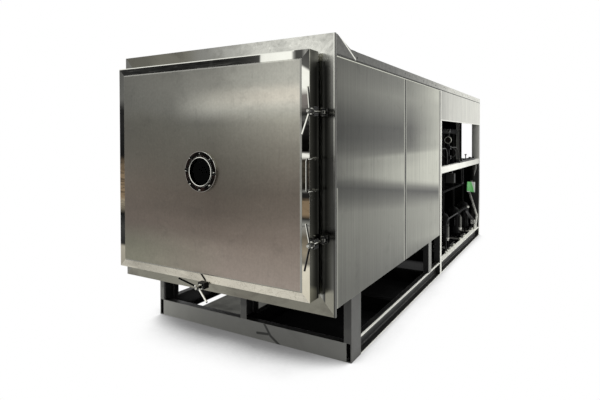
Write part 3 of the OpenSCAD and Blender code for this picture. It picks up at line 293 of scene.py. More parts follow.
    def bump(self, height, strength, distance):
        n = self.nt.nodes.new("ShaderNodeBump")
        n.inputs["Strength"].default_value = strength
        n.inputs["Distance"].default_value = distance
        self.put(n.inputs["Height"], height)
        if self.normal_out is not None:
            self.link(self.normal_out, n.inputs["Normal"])
        self.normal_out = n.outputs[0]

    def done(self, colour, rough, metal=0.0):
        self.put(self.bsdf.inputs["Base Color"], colour)
        self.put(self.bsdf.inputs["Roughness"], rough)
        self.put(self.bsdf.inputs["Metallic"], metal)
        if self.normal_out is not None:
            self.link(self.normal_out, self.bsdf.inputs["Normal"])
        return self.mat


# ---------------------------------------------------------------------- finishes
# Where a finish takes a tone, that is a function of the tree that returns a colour;
# painted and braid take a plain colour too.
def brushed(name, tone, grain, rough, smudge, bump=0.12, edge_highlight=0.45):
    """Brushed stainless sheet with clouds, smudges and painted highlights along its edges."""
    t = Tree(name)
    base = tone(t)
    lines = t.noise(1.0, 4.0, 0.6, stretch=grain)
    fine = t.noise(1.0, 2.0, 0.5, stretch=tuple(g * 2.7 for g in grain))
    base = t.times(base, t.ramp(lines, shades((0.3, 0.55), (0.5, 1.0), (0.75, 1.25))), 0.22)
    clouds = t.noise(1.7, 4.0, 0.55)
    film = [(0.3, (0.86, 0.85, 0.84)), (0.55, WHITE), (0.75, (1.06, 1.06, 1.05))]
    base = t.times(base, t.ramp(clouds, film), 0.35)
    mark = t.span(t.noise(9.0, 5.0, 0.65, distort=0.6), 0.56, 0.72, 0.0, smudge)
    base = t.mix(mark, base, t.mix(0.5, base, grey(70)))
    # painted highlight along the edges
    base = t.mix(t.mul(t.edge(0.0018), edge_highlight), base, grey(205))
    gloss = t.add(t.span(lines, 0.3, 0.7, rough - 0.05, rough + 0.06), t.mul(mark, 0.22))
    t.bevel(0.0012)
    t.bump(fine, bump, 0.0004)
    t.bump(clouds, 0.06, 0.01)
    t.bsdf.inputs["Anisotropic"].default_value = 0.45
    return t.done(base, gloss, 1.0)


def polished(name, tone, rough, edge_highlight=0.5):
    """Bright metal with a thin haze, fine scratches and painted highlights along its edges."""
    t = Tree(name)
    base = tone(t)
    haze = t.noise(6.0, 5.0, 0.6, distort=0.4)
    film = [(0.3, (0.75, 0.74, 0.72)), (0.6, WHITE), (0.8, (1.1, 1.1, 1.1))]
    base = t.times(base, t.ramp(haze, film), 0.4)
    scratch = t.noise(1.0, 3.0, 0.5, stretch=(60, 60, 900))
    # painted highlight along the edges
    base = t.mix(t.mul(t.edge(0.0015), edge_highlight), base, grey(225))
    gloss = t.add(t.span(haze, 0.4, 0.75, rough * 0.6, rough * 1.7),
                  t.span(scratch, 0.6, 0.8, 0.0, 0.05))
    t.bevel(0.0012)
    t.bump(scratch, 0.03, 0.0003)
    return t.done(base, gloss, 1.0)


def painted(name, tone, rough, chips, speck, spec=0.35, chip=165):
    """Paint with orange peel, dirt and edges worn to the grey of chip."""
    t = Tree(name)
    base = tone(t) if callable(tone) else tone
    orange = t.noise(260.0, 2.0, 0.5)
    dirt = t.noise(4.0, 6.0, 0.65)
    soiled = t.mix(0.5, base, grey(60, (1, .97, .9)))
    base = t.mix(t.span(dirt, 0.5, 0.78, 0.0, speck), base, soiled)
    patches = t.span(t.noise(38.0, 4.0, 0.6), 0.42, 0.62, 0.15, chips + 0.4)
    base = t.mix(t.mul(t.edge(0.0022), patches, clamp=True), base, grey(chip))
    t.bevel(0.0015)
    t.bump(orange, 0.15, 0.0004)
    t.bsdf.inputs["Specular IOR Level"].default_value = spec
    return t.done(base, t.span(dirt, 0.35, 0.75, rough - 0.08, rough + 0.12))


def dull_steel(name, v, rough):
    """Mill-finish steel of grey v."""
    t = Tree(name)
    n = t.noise(7.0, 5.0, 0.6)
    film = [(0.3, (0.7, 0.69, 0.67)), (0.55, WHITE), (0.8, (1.15, 1.15, 1.14))]
    base = t.times(grey(v, (1, 0.99, 0.95)), t.ramp(n, film), 0.6)
    # painted highlight along the edges
    base = t.mix(t.mul(t.edge(0.0016), 0.5), base, grey(210))
    t.bevel(0.001)
    t.bump(t.noise(420.0, 2.0, 0.5), 0.15, 0.0003)
    return t.done(base, t.span(n, 0.35, 0.7, rough - 0.08, rough + 0.1), 1.0)


def rubber(name, v, rough):
    """Rubber of grey v under a dusty bloom."""
    t = Tree(name)
    n = t.noise(30.0, 4.0, 0.6)
    base = t.mix(t.span(n, 0.5, 0.75, 0.0, 0.5), grey(v), grey(v + 22))
    t.bevel(0.001)
    t.bump(t.noise(300.0, 2.0), 0.2, 0.0004)
    return t.done(base, t.span(n, 0.3, 0.7, rough - 0.05, rough + 0.12))


def braid(name, tone, scale=900.0, metal=0.0):
    """Ribbed hose jacket or wire braid."""
    t = Tree(name)
    base = tone(t) if callable(tone) else tone
    w = t.nt.nodes.new("ShaderNodeTexWave")
    w.wave_type = "BANDS"
    w.bands_direction = "DIAGONAL"
    w.inputs["Scale"].default_value = scale
    w.inputs["Distortion"].default_value = 1.5
    t.link(t.obj, w.inputs["Vector"])
    wave = w.outputs["Fac"] if "Fac" in w.outputs else w.outputs[1]
    base = t.mix(t.mul(t.sub(1.0, wave), 0.45), base, grey(6))
    base = t.mix(t.span(t.noise(25.0, 3.0), 0.5, 0.75, 0.0, 0.4), base, grey(12))
    t.bsdf.inputs["Specular IOR Level"].default_value = 0.15
    t.bump(wave, 0.3, 0.0006)
    return t.done(base, 0.45, metal)


def glass(name):
    """Clear, barely refracting, with a faint film."""
    t = Tree(name)
    t.bsdf.inputs["Transmission Weight"].default_value = 1.0
    t.bsdf.inputs["IOR"].default_value = 1.08
    n = t.noise(12.0, 3.0)
    base = t.mix(n, (0.012, 0.013, 0.013), (0.03, 0.032, 0.03))
    return t.done(base, t.span(n, 0.4, 0.8, 0.02, 0.07))


# ------------------------------------------------------ tones of the steel sheets
def door_tone(t):
    """Door panel: columns of painted reflection and highlight, blended from left to right."""
    left = t.up(t.z, *DOOR_Z, [126, 115, 104, 101, 103, 99, 94, 92, 101, 104, 103])
    mid = t.up(t.z, *DOOR_Z, [146, 138, 112, 95, 90, 92, 101, 110, 176, 138, 122])
    right = t.stops(t.z, (0.55, 152), (0.69, 140), (0.82, 126), (0.96, 110), (1.09, 103),
                    (1.22, 116), (1.36, 132), (1.49, 158), (1.58, 186), (1.613, 206),
                    (1.64, 216), (1.7, 208), (1.73, 190), (1.76, 184), (1.9, 176))
    near = t.up(t.z, *DOOR_Z, [137, 127, 110, 99, 98, 97, 98, 100, 116, 120, 113])
    base = t.cols(t.x, (-0.72, left), (-0.26, near), (0.1, mid), (0.66, right))
    # the lower half mirrors a brownish floor
    wavy = t.add(t.z, t.span(t.noise(1.4, 2.0, 0.5), 0.3, 0.7, -0.06, 0.06))
    warm = t.ramp(t.span(wavy, 0.5, 1.6), [
        (0.0, (1, .85, .81)), (0.16, (1, .85, .79)), (0.3, (1, .83, .76)), (0.5, (1, .85, .765)),
        (0.7, (1, .925, .84)), (0.9, (1, .97, .9)), (1.0, (1, .99, .955))])
    corner = t.mul(t.span(t.x, 0.2, -0.6), t.span(t.z, 0.82, 0.66), clamp=True)
    base = t.times(base, t.mix(corner, warm, (1, .97, .82)))
    # a faintly pink tint over the painted highlight high on the right
    glow = t.mul(t.span(t.off(t.z, 1.665), 0.09, 0.02), t.span(t.x, -0.1, 0.5), clamp=True)
    base = t.mix(glow, base, t.times(base, (1.0, .955, .93)))
    fleck = t.ramp(t.noise(64.0, 3.0, 0.6), shades((0.3, .94), (0.5, 1), (0.7, 1.06)))
    base = t.times(base, fleck)
    wipe = t.noise(5.0, 5.0, 0.6, stretch=(1, 1, 2.2), distort=0.9)
    base = t.mix(t.span(wipe, 0.55, 0.7, 0.0, 0.4), base, t.times(base, (1.16,) * 3))
    # the rim: painted light and shade, set by the way each face turns
    flat = t.faces(FRONT, 0.97)
    rim = t.mix(t.span(t.z, 0.6, 1.9), grey(196), grey(150))
    rim = t.mix(t.faces(LEFT, 0.75), grey(150), rim)
    top_rim = t.mix(t.span(t.x, -0.2, 0.5), grey(178), grey(206))
    return t.mix(flat, t.mix(t.faces(TOP, 0.75), rim, top_rim), base)


def side_tone(t):
    """Side sheets mirror level bands; the lowest one sinks towards the rear."""
    def bands(v, levels, *rows):
        return t.cols(t.y, *[(y, t.stops(v, *zip(levels, row))) for y, row in rows])

    high = bands(t.z, (1.2, 1.27, 1.3, 1.34, 1.41, 1.49, 1.57, 1.65, 1.73, 1.81, 1.9),
                 (SIDE_FRONT, (107, 105, 98, 80, 62, 61, 75, 95, 103, 100, 88)),
                 (-1.15, (168, 164, 120, 99, 82, 79, 106, 123, 135, 120, 112)),
                 (-0.8, (172, 168, 124, 99, 90, 85, 109, 123, 142, 136, 130)),
                 (-0.5, (192, 187, 154, 142, 139, 132, 140, 150, 158, 158, 150)),
                 (0.12, (215, 214, 196, 186, 190, 186, 185, 190, 188, 204, 200)))
    sinking = t.add(t.z, t.mul(t.add(t.y, -SIDE_FRONT), 0.112))
    low = bands(sinking, (0.5, 0.6, 0.7, 0.8, 0.9, 0.97, 1.02, 1.06, 1.12, 1.16, 1.2, 1.22),
                (SIDE_FRONT, (98, 104, 110, 114, 118, 114, 92, 76, 64, 84, 106, 112)),
                (-1.15, (98, 114, 126, 133, 138, 140, 116, 100, 74, 120, 172, 176)),
                (0.12, (90, 120, 170, 164, 168, 166, 156, 126, 66, 130, 196, 212)))
    base = t.mix(t.span(t.z, 1.15, 1.22), low, high)
    lines = t.noise(1.0, 3.0, 0.6, stretch=(1, 62, 1.2))
    base = t.times(base, t.ramp(lines, shades((0.32, .88), (0.5, 1), (0.68, 1.13))))
    # seams: a dark joint between painted highlights on its two edges
    for seam, half in ((SEAM_FRONT, 0.015), (SEAM_REAR, 0.03)):
        d = t.math("DIVIDE", t.sub(t.y, seam), half)
        line = t.stops(d, (-2.2, 176), (-1.15, 180), (-1.0, 24), (0.9, 24), (1.0, 160), (1.9, 156))
        base = t.mix(t.both(t.over(d, -2.2), t.under(d, 1.9)), base, line)
    # a painted highlight and a painted shadow line along the top, painted light on the lower half
    # of the front edge
    base = t.mix(t.over(t.z, SIDE_HI - 0.009), base, grey(214))
    base = t.mix(t.over(t.z, SIDE_HI - 0.0035), base, grey(40))
    base = t.mix(t.both(t.under(t.y, -2.218), t.under(t.z, 1.12)), base, grey(150))
    return t.times(base, (1, 1.01, .95))


def rear_tone(t):
    """Roof, roof trim and bay headers: painted light, brighter towards the rear."""
    wide = t.ramp(t.span(t.y, -2.24, BAY_BACK), [
        (0.0, 98), (0.2, 106), (0.34, 134), (0.5, 172), (0.6, 212), (1.0, 232)])
    lines = t.noise(1.0, 4.0, 0.65, stretch=(2, 40, 2))
    streaks = t.ramp(lines, shades((0.3, .84), (0.5, 1), (0.7, 1.12)))
    flecks = t.noise(46.0, 3.0, 0.6, stretch=(1, 0.5, 1))
    flecks = t.ramp(flecks, shades((0.3, .8), (0.5, 1), (0.7, 1.24)))
    side, trim, bay = t.faces(RIGHT), t.over(t.z, TRIM_FOOT), t.over(t.y, BAY_Y)
    grain = t.times(wide, t.mix(trim, streaks, flecks))
    base = t.mix(t.mix(trim, WHITE, side), wide, grain)
    # painted light on the headers' lower lip and front end, then the painted shadow line at the
    # trim's foot
    base = t.mix(t.both(t.under(t.z, HEADER_LO + 0.01), bay), base, grey(252))
    end = t.both(t.under(t.y, BAY_FRONT + 0.0355), bay, t.under(t.z, TRIM_LO - 0.002))
    base = t.mix(end, base, grey(236))
    base = t.mix(t.both(trim, t.under(t.z, TRIM_LO + 0.0065)), base, grey(44))
    # painted highlight along the mitre of the front top corner, and the row of small fixings
    mitre = t.line_gap(t.y, t.z, (-2.2025, 2.022), (-1.955, 1.908))
    base = t.mix(t.both(side, t.under(mitre, 0.0055)), base, grey(236))
    for y, z in ROOF_FIXINGS:
        gap = t.line_gap(t.y, t.z, (y - 0.004, z), (y + 0.004, z))
        base = t.mix(t.both(side, t.under(gap, 0.0065)), base, grey(24))
    return base


def fascia_tone(t):
    """Frame round the door: four mitred limbs of painted reflection and shade, with a bright
    border of painted highlight and a dark one of painted shade.
    """
    across = t.span(t.abs(t.x), OPENING[0], FASCIA_HALF)
    upright = t.span(t.off(t.z, MID_Z), OPENING[1], MID_Z - FASCIA_LO)
    olive, tan = (1, .985, .9), (1, .93, .84)
    top = t.up(t.x, -FASCIA_HALF, FASCIA_HALF,
               [grey(v, olive) for v in (94, 96, 110, 112)] + [132, 164, 200, 200, 208, 192])
    low = t.up(t.x, -FASCIA_HALF, FASCIA_HALF,
               [grey(v, olive) for v in (132, 127, 134, 126, 120, 124)])
    mottle = t.noise(3.2, 5.0, 0.6, stretch=(1, 1, 1.6), distort=0.8)
    patch = t.mix(t.span(t.x, 0.0, 0.6), grey(76, olive), grey(228))
    top = t.mix(t.span(mottle, 0.5, 0.66, 0.0, 0.5), top, patch)
    low = t.mix(t.span(mottle, 0.5, 0.68, 0.0, 0.5), low, grey(86, (1, .95, .88)))
    left = t.stops(t.z, (FASCIA_LO, 125), (0.5, 122, olive), (0.7, 108, tan), (0.95, 104, tan),
                   (1.2, 104, tan), (1.35, 98, tan), (1.5, 90), (1.7, 104), (FASCIA_HI, 108))
    # the right limb is darkest beside the door in painted shade and reflection, but for one thin
    # painted highlight
    near = t.stops(t.z, (FASCIA_LO, 142, olive), (0.5, 138, olive), (0.53, 60), (0.9, 40),
                   (1.3, 42), (1.5, 44), (1.7, 54), (1.83, 64), (1.862, 120), (1.88, 226),
                   (FASCIA_HI, 208))
    far = t.stops(t.z, (FASCIA_LO, 138, olive), (0.5, 138, olive), (0.53, 96), (0.7, 86),
                  (0.9, 58), (1.3, 60), (1.5, 92), (1.7, 122), (1.8, 128), (1.85, 150),
                  (1.9, 206), (FASCIA_HI, 204))
    right = t.mix(t.span(t.x, 0.836, 0.872), near, far)
    inner = t.stops(t.x, (0.784, 60), (0.789, 60), (0.792, 156), (0.806, 150),
                    (0.818, 84), (0.83, 56))
    right = t.mix(t.both(t.under(t.x, 0.828), t.under(t.z, 1.865)), right, inner)
    blot = t.noise(9.0, 5.0, 0.66, distort=1.0)
    spots = t.ramp(blot, shades((0.34, .72), (0.5, 1), (0.6, 1.12), (0.68, 1.4)))
    ends = t.mix(t.over(t.z, MID_Z), low, top)
    sides = t.mix(t.over(t.x, 0.0), left, right)
    base = t.mix(t.over(t.sub(across, upright), 0.0), ends, sides)
    # the top right corner is the most blotched
    spotted = t.times(base, spots)
    base = t.mix(t.both(t.over(t.z, 1.9), t.over(t.x, 0.2)), base, spotted)
    # outermost millimetres: a bright arris of painted highlight, then the dark lip in painted
    # shade
    arris = t.stops(t.z, (FASCIA_LO, 60), (1.0, 62), (1.2, 96), (1.35, 150), (1.5, 190),
                    (1.9, 228), (FASCIA_HI, 228))
    dark = t.stops(t.z, (FASCIA_LO, 92), (1.0, 86), (1.2, 42), (FASCIA_HI, 34))
    base = t.mix(t.over(t.x, FASCIA_HALF - 0.0125), base, arris)
    base = t.mix(t.over(t.x, FASCIA_HALF - 0.0055), base, dark)
    lip = t.stops(t.z, (FASCIA_LO, 96), (1.0, 90), (1.2, 118), (FASCIA_HI, 122))
    return t.mix(t.both(t.faces(RIGHT), t.over(t.x, 0.85)), base, lip)


# --------------------------------------------------------- tones of bright metal
def casing_tone(t):
    """Mirror-polished door edge: painted reflections, warm dark streaks broken by pale ones."""
    wob = t.span(t.noise(2.2, 3.0, 0.5), 0.3, 0.7, -0.004, 0.004)
    streak = t.noise(1.0, 4.0, 0.6, stretch=(6, 6, 46), distort=0.6)
    tan, brown, warm = (1, .86, .68), (1, .93, .8), (1, .97, .88)
    x = t.add(t.x, wob)
    z = t.add(t.z, wob)
    # the bright painted reflection at the top of the right side has a slanting foot
    tilt = t.mul(t.mul(t.sub(t.x, 0.772), 0.6), t.span(t.z, 1.66, 1.76))
    top = t.stops(x, (-CASING_HALF, 84), (-0.76, 34), (-0.16, 32), (0.06, 44), (0.08, 66),
                  (0.1, 40), (0.3, 46), (0.4, 60), (0.455, 70), (0.465, 238), (0.68, 252),
                  (0.692, 150), (0.71, 70), (0.75, 74), (0.775, 150), (CASING_HALF, 110))
    dark = t.noise(1.0, 4.0, 0.6, stretch=(7, 7, 120), distort=0.5)
    dark = t.ramp(dark, [(0.4, 10), (0.52, 46), (0.58, 20), (0.66, 84)])
    top = t.mix(t.span(t.x, 0.2, 0.5, 0.6, 0.0), top, dark)
    right = t.stops(t.add(z, tilt), (CASING_LO, 206, warm), (0.675, 214, warm),
                    (0.7, 114, warm), (0.76, 146, brown), (0.85, 100, brown), (0.92, 148),
                    (0.955, 32), (0.98, 132, tan), (1.055, 124, tan), (1.075, 30), (1.1, 30),
                    (1.112, 110), (1.13, 44, brown), (1.29, 72, brown), (1.308, 236),
                    (1.326, 236), (1.334, 4), (1.4, 6), (1.48, 34), (1.52, 84), (1.56, 50),
                    (1.6, 116, (1, .96, .92)), (1.66, 124, (1, .95, .91)), (1.7, 248),
                    (1.805, 252), (1.82, 90), (CASING_HI, 66))
    left = t.stops(z, (CASING_LO, 156, warm), (0.62, 168, warm), (0.64, 34), (0.76, 56),
                   (0.86, 10), (0.89, 96, brown), (0.95, 156, brown), (0.98, 128, tan),
                   (1.15, 130, tan), (1.25, 84, tan), (1.29, 6), (1.5, 26), (1.62, 24),
                   (1.7, 98), (1.88, 88), (CASING_HI, 70))
    low = t.up(t.x, -CASING_HALF, CASING_HALF, [
        grey(v, (1, .975, .905)) for v in (186, 168, 176, 188, 180, 206, 198, 202, 204, 194)])
    crease = t.noise(10.0, 6.0, 0.62, stretch=(1, 1, 1.8), distort=1.6)
    vein = t.span(t.off(crease, 0.52), 0.016, 0.0, 0.0, 0.5)
    low = t.mix(vein, low, grey(112, (1, .96, .82)))
    low = t.mix(t.span(streak, 0.56, 0.7, 0.0, 0.5), low, grey(226, (1, .98, .9)))
    ends = t.mix(t.over(t.z, MID_Z), low, top)
    sides = t.mix(t.over(t.x, 0.0), left, right)
    middle = t.both(t.over(t.z, 0.9), t.under(t.z, 1.67))
    busy = t.mul(middle, t.span(streak, 0.5, 0.62, 0.0, 0.7))
    sides = t.mix(busy, sides, t.mix(0.85, sides, grey(12)))
    on_side = t.over(t.sub(t.abs(t.x), t.off(t.z, MID_Z)), 0.078)
    front = t.mix(on_side, ends, sides)
    # painted highlight: a thin bright arris along the top
    front = t.mix(t.both(t.over(t.z, CASING_HI - 0.0055), t.under(t.x, 0.7)), front, grey(236))
    # the side wall mirrors the fascia, with painted shade darkening it towards the back
    wall = t.stops(t.z, (CASING_LO, 170), (0.52, 190), (0.68, 250), (0.95, 246), (1.3, 204),
                   (1.5, 140), (1.8, 102), (CASING_HI, 104))
    back = t.span(t.y, CASING_TURN, CASING_BACK - 0.015)
    high = t.ramp(back, shades((0.0, 1.0), (0.25, 0.8), (0.5, 0.66), (0.75, 0.8), (1.0, 0.88)))
    deep = t.ramp(back, shades((0.0, 1.0), (0.25, 0.9), (0.5, 0.62), (0.75, 0.4), (1.0, 0.2)))
    wall = t.times(wall, t.mix(t.span(t.z, 1.2, 1.6), deep, high))
    wall = t.mix(t.under(t.y, CASING_FRONT + 0.0075), wall, grey(214))
    return t.mix(t.over(t.y, CASING_TURN), front, wall)


def collar_tone(t):
    """Clouded grey, dark to middling."""
    return t.ramp(t.noise(3.0, 3.0), [(0.3, 60), (0.7, 150)])


def chrome_tone(t, lo=24, hi=246):
    """Painted highlights and dark painted reflections along rods and edges, as on bright metal
    indoors.
    """
    f = t.facing(-0.6, -0.15, 0.65)
    return t.ramp(t.add(f, t.span(t.noise(18.0, 2.0), 0.3, 0.7, -0.04, 0.04)), [
        (0, lo), (0.3, lo + 10), (0.4, 80), (0.46, lo), (0.5, lo + 40), (0.56, 150),
        (0.64, hi), (0.97, hi), (1, 210)])


def fastener_tone(t):
    """The same lines, a little darker."""
    return chrome_tone(t, 16, 236)


def rod_tone(t):
    """Swing bolt: painted highlight along its top, its eye in painted shade but for one thin
    painted highlight.
    """
    rod = t.ramp(t.facing(0.4, -0.35, 0.8), [
        (0.3, 14), (0.55, 60), (0.72, 190), (0.84, 248), (1, 240)])
    eye = t.ramp(t.facing(0.2, -0.9, 0.4), [
        (0.3, 10), (0.58, 26), (0.72, 200), (0.8, 50), (1, 14)])
    return t.mix(t.over(t.y, EYE_Y), rod, eye)


def nut_tone(which):
    """T-handle nut: some arms catch painted light, others stand in painted shade."""
    cx, cz = (reach("hand_nut_" + which, axis)[1] for axis in (X, Z))

    def tone(t):
        light = t.facing(-0.6, -0.3, 0.65)
        pale = t.ramp(light, [(0, 16), (0.3, 30), (0.42, 150), (0.52, 240), (0.9, 250), (1, 236)])
        dark = t.ramp(light, [(0, 4), (0.6, 8), (0.8, 40), (0.93, 150), (1, 190)])
        if which == "upper":
            arms = pale
        elif which == "lower":
            arms = t.mix(t.over(t.z, cz), dark, pale)
        else:
            lower_arms = t.mix(t.under(t.x, -0.02), pale, dark)
            arms = t.mix(t.over(t.z, cz + 0.02), lower_arms, grey(6))
        hub = t.ramp(t.facing(-0.5, -0.1, 0.8), [
            (0, 8), (0.55, 26), (0.7, 90), (0.82, 220), (1, 240)])
        return t.mix(t.under(t.radius_xz(cx, cz), 0.0165), arms, hub)
    return tone


def handle_tone(t):
    """Upright half in painted highlight, half in painted shade; the legs have painted light along
    the top.
    """
    bar = t.ramp(t.facing(-0.9, -0.3, 0.15), [
        (0, 12), (0.42, 24), (0.6, 130), (0.72, 236), (1, 240)])
    leg = t.ramp(t.facing(0.5, -0.2, 0.8), [(0.25, 24), (0.5, 120), (0.7, 214), (1, 244)])
    return t.mix(t.over(t.y, LEG_Y), bar, leg)


def sight_tone(t):
    """Cover ring: dark mirror face with painted brown reflections, painted highlights on the lip
    round the glass and on the thin rim.
    """
    r = t.radius_xz(0.0, MID_Z)
    up_right = t.add(t.mul(t.x, 0.7), t.mul(t.sub(t.z, MID_Z), 0.7))
    face = t.ramp(t.noise(11.0, 3.0, 0.5), [
        (0.35, 3), (0.5, 14, (1, .8, .74)), (0.6, 38, (1, .72, .64)), (0.68, 8), (0.8, 40)])
    lip = t.ramp(t.span(t.abs(up_right), 0.02, 0.085), [(0.0, 150), (0.4, 236), (1.0, 255)])
    base = t.mix(t.span(r, 0.094, 0.095), lip, face)
    base = t.mix(t.span(r, 0.0905, 0.0915), grey(10), base)
    warm = (1, .96, .92)
    rim = t.ramp(t.span(up_right, -0.12, 0.125), [
        (0.0, 140, warm), (0.9, 150, warm), (0.97, 250), (1.0, 255)])
    return t.mix(t.span(r, 0.129, 0.1305), base, rim)


def sight_bolt_tone(t):
    """Dark heads, each with one small painted glint."""
    r = t.radius_xz(0.0, MID_Z)
    turn = t.math("ARCTAN2", t.sub(t.z, MID_Z), t.x)
    along = t.mul(t.math("PINGPONG", turn, math.pi / 8), SIGHT_BOLT_R)
    d = t.hypot(along, t.sub(r, SIGHT_BOLT_R))
    return t.ramp(t.span(d, 0.0, 0.009), [(0.0, 255), (0.42, 236), (0.6, 40), (1.0, 14)])


# ------------------------------------------------ tones of the base and of the bay
def base_tone(t):
    """Grey channel paint; painted light on the outer edges of the side beams, painted shade in
    recesses and on most tops.
    """
    front = t.up(t.x, -0.80, 0.9, [138, 116, 104, 101, 100, 100, 101, 102])
    front = t.mix(t.span(t.noise(1.1, 2.0), 0.35, 0.7, 0.0, 0.3), front, grey(86, (1, 1, .985)))
    # Y-shaped shadow of the bottom clamp's handle
    for a, b in (((0.233, 0.118), (0.283, 0.046)), ((0.283, 0.046), (0.364, -0.007)),
                 ((0.172, 0.044), (0.262, 0.053))):
        front = t.mix(t.span(t.line_gap(t.x, t.z, a, b), 0.0105, 0.0075), front, grey(46))
    # the front beam's top face in painted shade
    front = t.mix(t.over(t.z, BEAM_TOP), front, grey(9))
    # side beams: painted shade in the recess, painted highlights on the outer edges, the top in
    # painted shade but lit along its outer edge and in the bay
    level = t.span(t.z, 0.0, BEAM_HI)
    web = t.ramp(level, [(0.06, 6), (0.1, 14), (0.3, 20), (0.46, 40), (0.5, 110), (0.54, 56),
                         (0.9, 70), (1.0, 26)])
    tip = t.ramp(level, [(0.0, 235), (0.06, 225), (0.94, 252)])
    side = t.mix(t.over(t.x, BASE_RIGHT - 0.002), web, tip)
    lit = t.mix(t.over(t.x, BASE_RIGHT - 0.0125), grey(6), grey(255))
    lit = t.mix(t.over(t.y, BAY_Y), lit, grey(255))
    side = t.mix(t.over(t.z, BEAM_TOP), side, lit)
    # everything left of the right beam in painted shade
    side = t.mix(t.over(t.x, 0.5), grey(9), side)
    return t.mix(t.over(t.y, -1.9), front, side)


def post_tone(t):
    """Posts under the chamber: grey on the faces that look out, dark in painted shade within."""
    front = t.up(t.x, -0.8, 0.9, [108, 90, 72, 64, 58])
    # a dark seam runs down the left post
    off_seam = t.over(t.abs(t.add(t.x, 0.738)), 0.006)
    ahead = t.both(t.faces(FRONT), t.under(t.y, BASE_FRONT + 0.002), off_seam)
    outside = t.both(t.faces(RIGHT), t.over(t.x, 0.88))
    right = t.mix(t.span(t.y, -1.9, -0.3), grey(78), grey(124))
    return t.mix(outside, t.mix(ahead, grey(6), front), right)


def frame_tone(t):
    """Bay frame, with painted light and shade: pale outer faces dimming towards the rear feet,
    inner faces of the posts in the dark, pale tops.
    """
    outer = t.stops(t.y, (BAY_Y, 226), (0.77, 240), (1.35, 228), (1.92, 206), (2.4, 188),
                    (2.45, 146), (BAY_BACK, 140))
    foot = t.up(t.z, BEAM_HI, RAIL_Z, [224, 150, 96, 84, 80])
    foot = t.mix(t.over(t.z, RAIL_Z), foot, outer)
    outer = t.mix(t.both(t.over(t.y, 2.0), t.under(t.z, 1.0)), outer, foot)
    inner = t.mix(t.span(t.x, 0.80, 0.894), grey(96), grey(190))
    inner = t.mix(t.over(t.z, RAIL_Z), grey(18), inner)
    ahead = t.mix(t.over(t.y, 1.6), grey(14), inner)
    base = t.mix(t.faces(FRONT), t.mix(t.faces(RIGHT), grey(24), outer), ahead)
    return t.mix(t.both(t.faces(TOP), t.over(t.x, 0.82)), base, grey(214))


def by_beam(t):
    """1 on the feet that stand on the pale flange of the side beam."""
    return t.both(t.over(t.x, 0.82), t.under(t.z, 0.155))


def compressor_tone(t):
    """Black cans; their rails catch light along the front and at the beam."""
    rail = t.under(t.z, 0.1425)
    ahead = t.both(t.faces(FRONT), t.over(t.x, 0.66))
    base = t.mix(t.both(rail, ahead), grey(2), grey(140))
    return t.mix(t.both(rail, t.over(t.x, 0.8415)), base, grey(240))


def lag_tone(t):
    """Black lagging with a faint painted sheen; the small vessels by the side beam are paler with
    painted light.
    """
    lag = t.ramp(t.facing(0.5, -0.6, 0.6), [(0.5, 3), (0.85, 9), (1.0, 24)])
    body = t.ramp(t.facing(0.6, -0.8, 0.0), [(0.6, 8), (0.85, 50), (1.0, 120)])
    body = t.mix(t.under(t.z, 0.285), body, grey(200))
    vessel = t.both(t.over(t.x, 0.825), t.over(t.z, 0.25), t.under(t.z, 0.44), t.under(t.y, 1.5))
    return t.mix(by_beam(t), t.mix(vessel, lag, body), grey(225))


def gauge_tone(t):
    """Black valves; pale rim, knob and plate, mottled tee."""
    gx, gy, gz = GAUGE
    r = t.radius_xz(gx, gz)
    near = t.under(t.off(t.y, gy), 0.03)
    rim = t.both(near, t.over(r, 0.0355), t.under(r, 0.042))
    base = t.mix(rim, grey(12), grey(150, (1, 1, .93)))
    tee = t.both(near, t.over(t.z, 1.46))
    base = t.mix(tee, base, t.ramp(t.noise(60.0, 2.0), [(0.45, 14), (0.6, 110)]))
    knob = t.both(t.over(t.x, 0.8642), t.under(t.z, 0.52))
    return t.mix(knob, base, grey(226))


def hose_tone(t):
    """Grey jackets in shade, in painted light by the side beam's flange; the conduit by the rear
    post is pale.
    """
    conduit = t.both(t.over(t.y, 2.2), t.under(t.z, 1.1), t.over(t.x, 0.76))
    hose = t.mix(t.over(t.z, RAIL_Z), grey(16), grey(60))
    hose = t.mix(by_beam(t), hose, grey(225))
    return t.mix(conduit, hose, t.mix(t.span(t.z, 0.25, 0.62), grey(225), grey(110)))


def lug_tone(t):
    """Blackened steel, greyer with painted light where it looks up and to the front."""
    return t.ramp(t.facing(-0.2, -0.8, 0.5), [(0.3, 4), (0.8, 7), (0.92, 24), (1.0, 70)])


